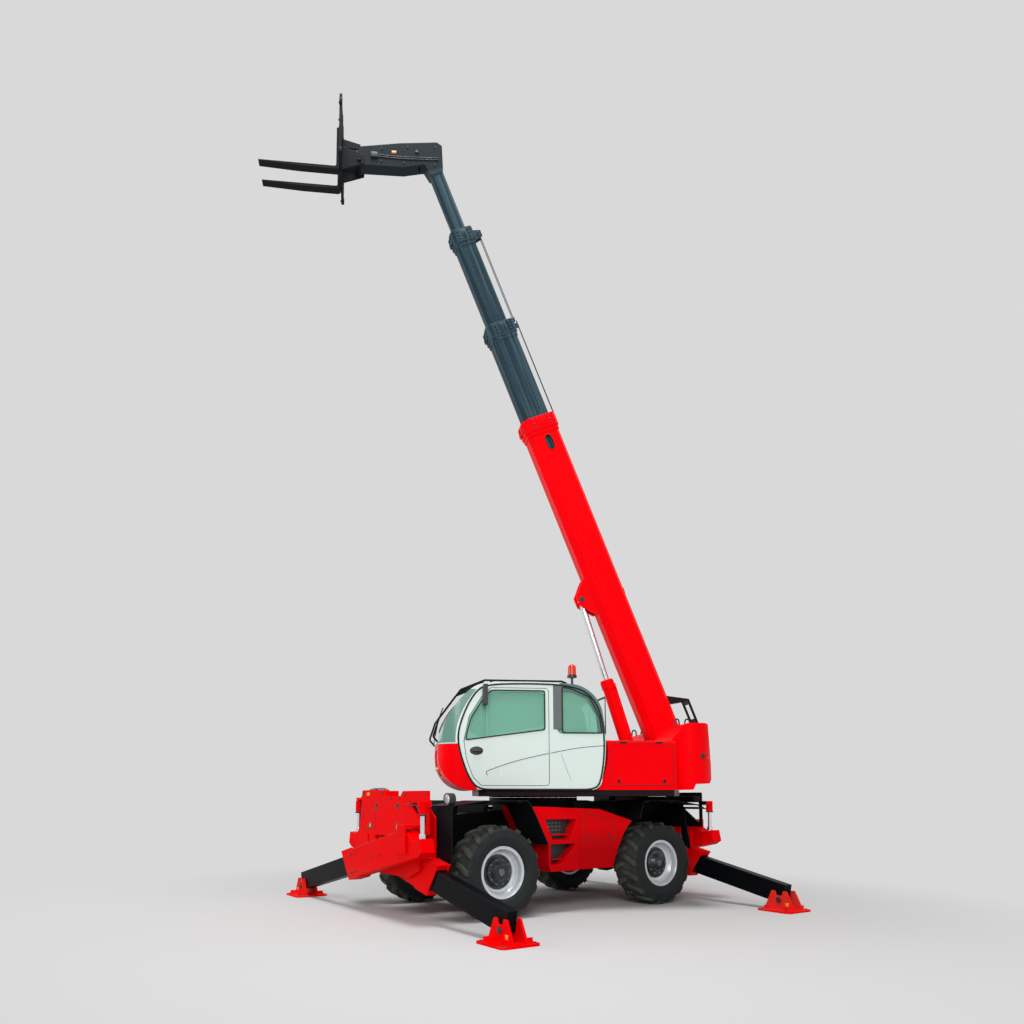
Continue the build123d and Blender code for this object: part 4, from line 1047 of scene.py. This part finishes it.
tower_pins = bmesh.new()
for side in (1, -1):
    keeper(tower_pins, (boom_pivot[0], side * 262, boom_pivot[2]), (0, side, 0), 62)
    keeper(tower_pins, (-1600, side * 242, 1750), (0, side, 0), 46)
settle("tower_pins", tower_pins, dark_bolt, "turret", turret_frame)
lift_pins = bmesh.new()
for side in (1, -1):
    keeper(lift_pins, (2490, side * 90, -390), (0, side, 0), 40)
settle("lift_eye_pins", lift_pins, dark_bolt, "boom", boom_frame)
print("pins kept", 6)

# %% [markdown]
# ## Head and carriage
# The head carries the carriage on one big pin and tilts it with a cylinder between its cheeks. Two steel pipes
# come forward to a valve block on each side, and the hooks, locking pins and stops belong to the carriage.

# %% Head fittings
cheek_screws = ((1480, 11600), (1480, 11300), (1900, 11560), (2300, 11500), (2300, 11290), (1960, 11290))
head_pipe = ((1420, 11420), (1700, 11400), (2100, 11380), (2380, 11390))
head = bmesh.new()
for side in (1, -1):
    keeper(head, (1760, side * 97, 11500), (0, side, 0), 26)
    for forward, up in cheek_screws:
        bolt(head, (forward, side * 95, up), (0, side, 0), 12)
    for lower in (0, 30):
        tube(head, [(forward, side * 99, up - lower) for forward, up in head_pipe], 9)
    block(head, (2360, side * 108 - 13, 11336), (2470, side * 108 + 13, 11420), 5)
for forward in (1520, 1640):
    block(head, (forward, -60, 11672), (forward + 34, 60, 11690), 3)
settle("head_fittings", head, moulded_black, "stage_3", turret_frame)
grease_point = bmesh.new()
block(grease_point, (2080, 92, 11440), (2150, 97, 11480), 2)
settle("head_grease_point", grease_point, amber_lens, "stage_3", turret_frame)
print("head fitted up to", [round(v, 2) for v in turret_frame @ Vector((2470, 108, 11420))])

# %% Carriage hooks, pins and stops
carriage_low, carriage_high = local_box("carriage", turret_frame)
rail_back_x = 2900
face_x = carriage_high[0]
hooks = bmesh.new()
for side in (1, -1):
    for post_y in (side * 470, side * 100):
        for up in (11030, 11570, 11850):
            bolt(hooks, (face_x, post_y, up), (1, 0, 0), 13)
    keeper(hooks, (2645, side * 147, 11250), (0, side, 0), 30)
    for up in (11000, 11800):
        block(hooks, (rail_back_x - 6, side * 500 - 14, up), (face_x + 4, side * 500 + 14, up + 100), 4)
    rod(hooks, (face_x - 10, side * 200, 11580), (face_x + 46, side * 200, 11580), 17, 20, chamfer=3)
for fork_y in (-200, 200):
    block(hooks, (face_x - 30, fork_y - 46, 11622), (face_x + 38, fork_y + 46, 11652), 6)
    rod(hooks, (face_x + 12, fork_y, 11640), (face_x + 12, fork_y, 11700), 13, 16, chamfer=2)
    rod(hooks, (face_x + 12, fork_y - 30, 11694), (face_x + 12, fork_y + 30, 11694), 7, 12)
for notch_y in range(-400, 401, 100):
    block(hooks, (rail_back_x + 4, notch_y - 5, 11618), (face_x - 4, notch_y + 5, 11626), 2)
settle("carriage_fittings", hooks, black_paint, "carriage", turret_frame)
print("carriage spans", [round(v) for v in carriage_low], [round(v) for v in carriage_high])

# %% [markdown]
# ## Turret
# The tail casting shows a dark plug and a small amber lamp on each flank, bolts behind and lifting eyes on top.
# The deck panel beside the boom has a lid with a fine gap, two latches and two hinges, and treads above it.

# %% Tail fittings
tail = bmesh.new()
for side in (1, -1):
    rod(tail, (-2105, side * 1176, 2060), (-2105, side * 1184, 2060), 34, 24, chamfer=3)
    for forward in (-2010, -1860):
        eye_arch = ((-36, 2496), (-36, 2570), (0, 2592), (36, 2570), (36, 2496))
        tube(tail, [(forward + ahead, side * 900, up) for ahead, up in eye_arch], 11)
for across in (-820, -400, 400, 820):
    for behind, up in ((-2306, 1790), (-2250, 2300)):
        bolt(tail, (behind, across, up), (-1, 0, 0), 18)
settle("tail_fittings", tail, dark_bolt, "turret", turret_frame)
tail_lamps = bmesh.new()
for side in (1, -1):
    block(tail_lamps, (-2215, side * 1090 - 30, 2010), (-2130, side * 1090 + 30, 2075), 14)
settle("tail_lamps", tail_lamps, amber_lens, "turret", turret_frame)
print("tail lamps", 2)

# %% Deck lid, latches and treads
tread_rows, tread_columns = 11, 7
lid = bmesh.new()
ring(lid, side_view(1171), [(-1690, 1660), (-800, 1660), (-850, 2225), (-1690, 2225)], 30, 6, 3)
for forward in (-1560, -930):
    rod(lid, (forward, 1169, 1720), (forward, 1176, 1720), 26, 24, chamfer=2)
    block(lid, (forward - 8, 1173, 1700), (forward + 8, 1181, 1740), 3)
for forward in (-1500, -1000):
    rod(lid, (forward - 50, 1172, 2240), (forward + 50, 1172, 2240), 10, 16, chamfer=2)
settle("deck_lid", lid, seal_rubber, "turret", turret_frame)
deck_tread = bmesh.new()
for row in range(tread_rows):
    for column in range(tread_columns):
        forward, across = -1660 + 78 * row, 340 + 106 * column
        block(deck_tread, (forward, across, 2264), (forward + 44, across + 10, 2268), 0)
        block(deck_tread, (forward + 34, across + 36, 2264), (forward + 44, across + 80, 2268), 0)
settle("deck_tread", deck_tread, turret_red, "turret", turret_frame)
print("tread bars", 2 * tread_rows * tread_columns)

# %% Engine hood grilles, latches and exhaust
grille_bars = 9
hood_edge = [(-1715, 1640), (180, 1640), (560, 1640), (560, 2080), (190, 2300), (-1715, 2300)]
grille = bmesh.new()
for first, last in ((-1510, -1190), (-310, 110)):
    ring(grille, side_view(-1196), [(first, 1770), (last, 1770), (last, 2240), (first, 2240)], 26, 16, -6)
    for row in range(grille_bars):
        tube(grille, [(along, -1184, 1809 + 48 * row) for along in (first + 10, last - 10)], 5)
for forward in (-1080, -420):
    for up in (1900, 2200):
        rod(grille, (forward, -1188, up), (forward, -1196, up), 26, 24, chamfer=2)
ring(grille, side_view(-1192), hood_edge, 22, 6, -4)
settle("hood_grilles", grille, moulded_black, "turret", turret_frame)
exhaust_x, exhaust_y = -1560, -620
stack = ((0, 2320), (0, 2420), (0, 2520), (-20, 2590), (-100, 2640))
exhaust = bmesh.new()
tube(exhaust, [(exhaust_x + forward, exhaust_y, up) for forward, up in stack], 42)
for low_z, high_z, radius, chamfer in ((2328, 2350, 66, 4), (2400, 2414, 47, 3), (2470, 2484, 47, 3)):
    rod(exhaust, (exhaust_x, exhaust_y, low_z), (exhaust_x, exhaust_y, high_z), radius, 28, chamfer=chamfer)
settle("exhaust_pipe", exhaust, engine_iron, "turret", turret_frame)
intake = bmesh.new()
rod(intake, (-60, -900, 2326), (-60, -900, 2420), 60, 28, chamfer=6)
rod(intake, (-60, -900, 2420), (-60, -900, 2470), 96, 28, far_radius=80, chamfer=8)
settle("air_intake", intake, moulded_black, "turret", turret_frame)
print("grille bars", 2 * grille_bars)

# %% Slew ring bolts
slew_bolts, slew_circle = 36, 615
slew = bmesh.new()
for count in range(slew_bolts):
    angle = 2 * pi * count / slew_bolts
    bolt(slew, (slew_circle * cos(angle), slew_circle * sin(angle), 1499), (0, 0, -1), 11)
settle("slew_ring_bolts", slew, dark_bolt, "turret", turret_frame)
print("slew ring bolts", slew_bolts)

# %% [markdown]
# ## Carrier
# The step recesses in the left side box are lined in dark ribbed plate, with punched treads. The ribs are short
# bars in rows, which catch the light as real checker plate does.

# %% Step recesses and treads
recesses = ([(640, 1210), (120, 1206), (246, 955), (524, 955)], [(552, 885), (140, 883), (386, 640), (552, 636)])
tread_bars = 8
steps = bmesh.new()
for outline in recesses:
    plate(steps, side_view(966), outline, 6, 1)
for first, last, tread_z in ((180, 480, 1019), (200, 480, 699)):
    for row in range(tread_bars):
        forward = first + (last - first) * row / (tread_bars - 1)
        block(steps, (forward - 6, 975, tread_z), (forward + 6, 1024, tread_z + 5), 1)
settle("step_linings", steps, step_tread, "carrier", carrier_frame)
step_marks = bmesh.new()
for row in range(4):
    for column in range(4):
        spot = Vector((300 + 62 * column, 961, 1165 - 48 * row))
        if 150 + 40 * row < spot.x < 600 - 14 * row:
            block(step_marks, spot - Vector((17, 1, 9)), spot + Vector((17, 8, 9)), 3)
settle("step_grip_studs", step_marks, bolt_steel, "carrier", carrier_frame)
print("recesses lined", len(recesses))

# %% Side box seams, locks and bolts
box_seam = [(0, 930), (0, 1300), (-540, 1190), (-590, 930)]
box_fittings = bmesh.new()
for side in (1, -1):
    ring(box_fittings, side_view(side * 1101), box_seam, 24, 5, side * 3)
    for forward in (-80, -450):
        rod(box_fittings, (forward, side * 1098, 985), (forward, side * 1107, 985), 20, 20, chamfer=2)
        block(box_fittings, (forward - 5, side * 1106 - 4, 970), (forward + 5, side * 1106 + 4, 1000), 2)
    for forward in (-520, -260, 20):
        bolt(box_fittings, (forward, side * 1100, 905), (0, side, 0), 8)
settle("side_box_fittings", box_fittings, dark_bolt, "carrier", carrier_frame)
print("locks", 4)

# %% [markdown]
# The end modules are thick plates with the lamps let in. Each lamp gets a black bezel, each lashing eye a ring, and
# bolts follow the edges. A small amber lamp and a grey cap sit on the raised corner, and black lamp boards stick
# out behind.

# %% End module fittings
module_bolts = ((-700, 1560), (-120, 1560), (120, 1490), (340, 1490), (500, 1540), (1030, 1540))
module_seam = [(-760, 1080), (-330, 1080), (-330, 1330), (-700, 1330)]
cap_handle = ((2300, -700, 1592), (2300, -640, 1618), (2300, -400, 1618), (2300, -200, 1618), (2300, -130, 1592))


def eyelet(form, spot, end, inner, outer):
    """Raised ring on a module's plate, facing ahead or behind."""
    section = [(0, inner), (3, inner + 2), (3, outer - 2), (0, outer)]
    join(form, spun(section, 36, closed=True), Matrix.Translation(spot) @ Matrix.Rotation(-end * pi / 2, 4, "Z"))


for end, module in ((1, "front"), (-1, "rear")):
    face_x = end * 2390
    fittings = bmesh.new()
    for lamp_y in (-490, 290):
        eyelet(fittings, (face_x, lamp_y, 1130), end, 35, 52)
    for across, up in module_bolts:
        bolt(fittings, (face_x, across, up), (end, 0, 0), 12)
    for across in (-300, 300):
        eyelet(fittings, (face_x, across, 1390), end, 27, 45)
    ring(fittings, front_view(face_x + end), module_seam, 20, 4, -end * 3)
    settle(module + "_module_bolts", fittings, dark_bolt, "carrier", carrier_frame)
    corner = bmesh.new()
    block(corner, (face_x + end * 2 - 20, -560, 1520), (face_x + end * 2 + 20, -500, 1565), 8)
    settle(module + "_corner_lamp", corner, amber_lens, "carrier", carrier_frame)
    cap = bmesh.new()
    rod(cap, (end * 2290, -560, 1586), (end * 2290, -560, 1612), 44, 28, chamfer=6)
    tube(cap, [(end * forward, across, up) for forward, across, up in cap_handle], 12)
    settle(module + "_corner_cap", cap, bolt_steel, "carrier", carrier_frame)
    print(module, "module face at", face_x, "bolts", len(module_bolts))

# %% Jack unions, pipes and rear lamp boards
# Away from the plate, away from the jack, and up.
jack_pipe = ((0, 60, 1335), (0, 120, 1335), (40, 190, 1395), (60, 330, 1410), (70, 520, 1415))
oil_pipes = bmesh.new()
for end in (1, -1):
    for beam_x, jack_y, inward in ((2260, -1123, 1), (2488, 1123, -1)):
        x = end * beam_x
        union_y = jack_y + inward * 46
        for up in (1320, 1400):
            block(oil_pipes, (x - 16, union_y - 14, up), (x + 16, union_y + 14, up + 30), 4)
        tube(oil_pipes, [(x - end * back, jack_y + inward * off, up) for back, off, up in jack_pipe], 8)
        rod(oil_pipes, (x, jack_y, 1280), (x, jack_y, 1300), 52, 24, chamfer=3)
settle("jack_pipes", oil_pipes, moulded_black, "carrier", carrier_frame)
boards = bmesh.new()
block(boards, (-2320, 560, 1440), (-2170, 1100, 1525), 6)
block(boards, (-2385, 640, 1330), (-2180, 1110, 1362), 5)
block(boards, (-2320, -1100, 1440), (-2170, -560, 1525), 6)
for side in (1, -1):
    block(boards, (-2200, side * 830 - 20, 1350), (-2170, side * 830 + 20, 1450), 3)
settle("rear_lamp_boards", boards, black_paint, "carrier", carrier_frame)
print("pipes", 4, "boards", 3)

# %% [markdown]
# The headlamps are plain drums in the solids. A lens behind a rim ring, a bracket and a guard cage make them lamps.

# %% Headlamps
lamp_x, lamp_z = 2170, 1478
cage_radius = 66
lenses = bmesh.new()
cages = bmesh.new()
for side in (1, -1):
    middle = Matrix.Translation((lamp_x, side * 1150, lamp_z)) @ Matrix.Rotation(-pi / 2, 4, "Z")
    lens = spun([(-2, 60), (5, 56), (12, 42), (16, 24), (17, 0.01)], 40)
    join(lenses, lens, middle)
    bowl = spun([(-84, 69), (-4, 69), (5, 66), (9, 69), (4, 74), (-40, 73), (-84, 72)], 40, closed=True)
    join(cages, bowl, middle)
    for across in (-38, 0, 38):
        up = (cage_radius ** 2 - across ** 2) ** 0.5
        wire = ((2, -up), (22, -up * 0.9), (26, 0), (22, up * 0.9), (2, up))
        tube(cages, [(lamp_x + ahead, side * 1150 + across, lamp_z + rise) for ahead, rise in wire], 3)
    block(cages, (2100, side * 1150 - 30, 1404), (2150, side * 1150 + 30, 1418), 3)
settle("headlamp_lenses", lenses, lamp_glass, "carrier", carrier_frame)
settle("headlamp_cages", cages, moulded_black, "carrier", carrier_frame)
print("headlamps", 2)

# %% [markdown]
# ## Stabilisers
# A leg's housing is a welded box, so it shows a doubler and a weld on its outer side, straps across its top, screws
# that set the slide pads, and the oil pipe of its slide. The foot swivels on a pin with flat heads, and it carries
# four bolts and an amber reflector.

# %% Legs
hinge_y, hinge_z = 800, 920
foot_y, foot_pin_z = 2500, 150
leg_foot_z = 230
droop = (hinge_z - leg_foot_z) / (foot_y + hinge_y)
lean = (1 + droop ** 2) ** -0.5
# Name, the leg's place along the machine, the side of its foot and its housing's length.
legs = [("front_left", 2260, 1, 2040), ("front_right", 2488, -1, 1800), ("rear_left", -2260, 1, 2040),
        ("rear_right", -2488, -1, 1800)]
for leg, beam_x, side, length in legs:
    # Along the leg, across it (the machine's x) and up, from the hinge pin.
    leg_axes = Matrix(((0, -side, 0, beam_x), (side * lean, 0, side * droop * lean, -side * hinge_y),
                       (-droop * lean, 0, lean, hinge_z), (0, 0, 0, 1)))
    leg_frame = carrier_frame @ leg_axes
    body = "stabiliser_housing_" + leg
    # The side that faces away from the module's plate, which the leg swings past a few millimetres off.
    outward = (1 if abs(beam_x) > 2400 else -1) * (1 if beam_x > 0 else -1) * -side
    mouth = bmesh.new()
    for along in (length - 420, length - 300):
        for up in (-120, 120):
            bolt(mouth, (along, outward * 90, up), (0, outward, 0), 13)
    for along in (length - 1150, length - 900):
        bolt(mouth, (along, outward * 90, 0), (0, outward, 0), 11)
    for along in (length - 240, length - 120):
        for across in (-45, 45):
            bolt(mouth, (along, across, 212), (0, 0, 1), 12)
    settle("leg_screws_" + leg, mouth, dark_bolt, body, leg_frame)
    doubler = bmesh.new()
    face = outward * 90
    block(doubler, (length - 700, face - 3, 160), (length - 330, face + 3, 176), 1)
    weld_route = ((-250, -150), (600, -160), (length - 560, -160))
    tube(doubler, [(along, face + outward, up) for along, up in weld_route], 3)
    for along in (300, 760, 1180):
        block(doubler, (along, -88, 183), (along + 46, 88, 190), 2)
    settle("leg_doublers_" + leg, doubler, carrier_red, body, leg_frame)
    slide_oil = bmesh.new()
    oil_route = ((-120, 150), (-40, 200), (60, 202), (length - 500, 202), (length - 400, 206))
    tube(slide_oil, [(along, 30, up) for along, up in oil_route], 7)
    for along in (200, 640, 1060):
        block(slide_oil, (along - 14, 16, 184), (along + 14, 44, 211), 3)
    settle("leg_pipe_" + leg, slide_oil, moulded_black, body, leg_frame)

    foot_pin = bmesh.new()
    foot_middle = side * foot_y
    for out in (1, -1):
        rod(foot_pin, (beam_x + out * 100, foot_middle, foot_pin_z), (beam_x + out * 112, foot_middle, foot_pin_z),
            38, 24, chamfer=3)
        for across in (-190, 190):
            bolt(foot_pin, (beam_x + out * 200, foot_middle + across, 25), (0, 0, 1), 12)
    settle("foot_pins_" + leg, foot_pin, dark_bolt, "stabiliser_foot_" + leg, carrier_frame)
    mark = bmesh.new()
    mark_y = foot_middle + side * 120
    block(mark, (beam_x + 99, mark_y - 26, 70), (beam_x + 103, mark_y + 26, 120), 2)
    settle("foot_reflector_" + leg, mark, amber_lens, "stabiliser_foot_" + leg, carrier_frame)
print("legs dressed", len(legs))

# %% [markdown]
# ## Cab interior
# Through the tinted panes one sees a sprung seat between two consoles with levers, and the wheel on its column.
# The solid stands in for them as plain blocks, so the whole of it is replaced.

# %% Seat base, consoles and wheel
inside = bmesh.new()
block(inside, (-150, 430, 1645), (440, 1000, 1880), 18)
for fold in range(4):
    tuck, fold_z = fold % 2 * 14, 1884 + 36 * fold
    block(inside, (-80 + tuck, 520, fold_z), (370 - tuck, 960, fold_z + 30), 10)
block(inside, (-205, 492, 2034), (440, 1008, 2056), 8)
seat_shell = [(-250, 2050), (-205, 2050), (-215, 2160), (-262, 2720), (-292, 2740), (-290, 2640)]
console = [(-90, 1900), (320, 1900), (400, 2150), (400, 2205), (-60, 2225), (-90, 2200)]
plate(inside, side_view(1000), seat_shell, 500, 8)
for low_y, high_y in ((350, 470), (1030, 1120)):
    plate(inside, side_view(high_y), console, high_y - low_y, 14, 20)
    lever_y = (low_y + high_y) / 2
    rod(inside, (345, lever_y, 2195), (362, lever_y, 2290), 11, 14)
    rod(inside, (359, lever_y, 2275), (372, lever_y, 2345), 26, 20, 20, 8)
    for switch in range(5):
        block(inside, (40 + 48 * switch, lever_y - 14, 2212), (66 + 48 * switch, lever_y + 14, 2226), 4)
plate(inside, side_view(790), [(790, 1645), (975, 1645), (930, 1950), (886, 2195), (838, 2205)], 100, 14)
plate(inside, side_view(900), [(870, 2170), (985, 2150), (1000, 2240), (930, 2300), (872, 2270)], 320, 12)
wheel_seat = Matrix.Translation((800, 740, 2240)) @ Matrix.Rotation(radians(-25), 4, "Y")
turned_up = wheel_seat @ Matrix.Rotation(pi / 2, 4, "X")
grip = [(0, 160), (11, 164), (15, 175), (11, 186), (0, 190), (-11, 186), (-15, 175), (-11, 164)]
join(inside, spun(grip, 48, closed=True), turned_up)
rod(inside, wheel_seat @ Vector((0, 0, -70)), wheel_seat @ Vector((0, 0, 12)), 38, 24, chamfer=6)
for spoke in range(3):
    reach = Matrix.Rotation(spoke * 2 * pi / 3, 4, "Z") @ Vector((170, 0, 0))
    rod(inside, wheel_seat @ (reach * 0.1), wheel_seat @ reach, 10, 12)
seat_frame = settle("seat_frame_and_wheel", inside, moulded_black, "turret", turret_frame)
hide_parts("cab_interior")
print("levers", 2, "spokes", 3)

# %% [markdown]
# Foam under a vinyl cover bulges between its seams. Each pad starts as a slightly smaller closed form, is swollen
# as cloth under inner pressure with its movement held to a cap, and then keeps that shape. Piping and sewn channels
# are laid over it afterwards.

# %% Seat pads
seat_vinyl = Paint("seat_vinyl", (0.018, 0.020, 0.023), 0.55, 0.2, 6.0, 0.5, 140)
foam_mesh = 0.012
swelling_steps = 20
swelling_cap = 0.014


def keep_shape(piece):
    """Make what the modifiers give the piece's own mesh."""
    shape = bpy.data.meshes.new_from_object(piece.evaluated_get(bpy.context.evaluated_depsgraph_get()))
    piece.modifiers.clear()
    piece.data = shape
    shape.shade_smooth()


def stuffed(name, form):
    """Swell a closed form in its cover, with no point moving further than the cap."""
    piece = settle(name, form, seat_vinyl, "turret", turret_frame)
    fine = piece.modifiers.new("fine", "REMESH")
    fine.mode = "VOXEL"
    fine.voxel_size = foam_mesh
    keep_shape(piece)
    rest = [point.co.copy() for point in piece.data.vertices]
    cover = piece.modifiers.new("cover", "CLOTH")
    cover.settings.use_pressure = True
    cover.settings.uniform_pressure_force = 4
    cover.settings.effector_weights.gravity = 0
    cover.point_cache.frame_end = swelling_steps
    for step in range(1, swelling_steps + 1):
        scene.frame_set(step)
    keep_shape(piece)
    scene.frame_set(1)
    for point, start in zip(piece.data.vertices, rest):
        moved = point.co - start
        if moved.length > swelling_cap:
            point.co = start + moved.normalized() * swelling_cap
    smooth = piece.modifiers.new("smooth", "SUBSURF")
    smooth.levels = 1
    smooth.render_levels = 1


cushion_outline = [(-120, 2074), (415, 2070), (428, 2120), (380, 2152), (-110, 2140)]
back_outline = [(-186, 2150), (-110, 2164), (-150, 2560), (-176, 2690), (-240, 2700), (-236, 2600)]
pad_form = bmesh.new()
plate(pad_form, side_view(990), cushion_outline, 480, 22)
stuffed("seat_cushion", pad_form)
back_form = bmesh.new()
plate(back_form, side_view(980), back_outline, 460, 22)
stuffed("seat_back_pad", back_form)
piping = bmesh.new()
tube(piping, [(-110, 516, 2158), (200, 514, 2164), (392, 516, 2160), (430, 560, 2136), (434, 740, 2132),
              (430, 930, 2136), (392, 976, 2160), (200, 978, 2164), (-110, 976, 2158)], 5)
for across in (640, 850):
    tube(piping, [(-100, across, 2161), (140, across, 2167), (372, across, 2166)], 4)
settle("seat_piping", piping, seal_rubber, "turret", turret_frame)

# %% [markdown]
# ## Finish

# %% Finish
import json
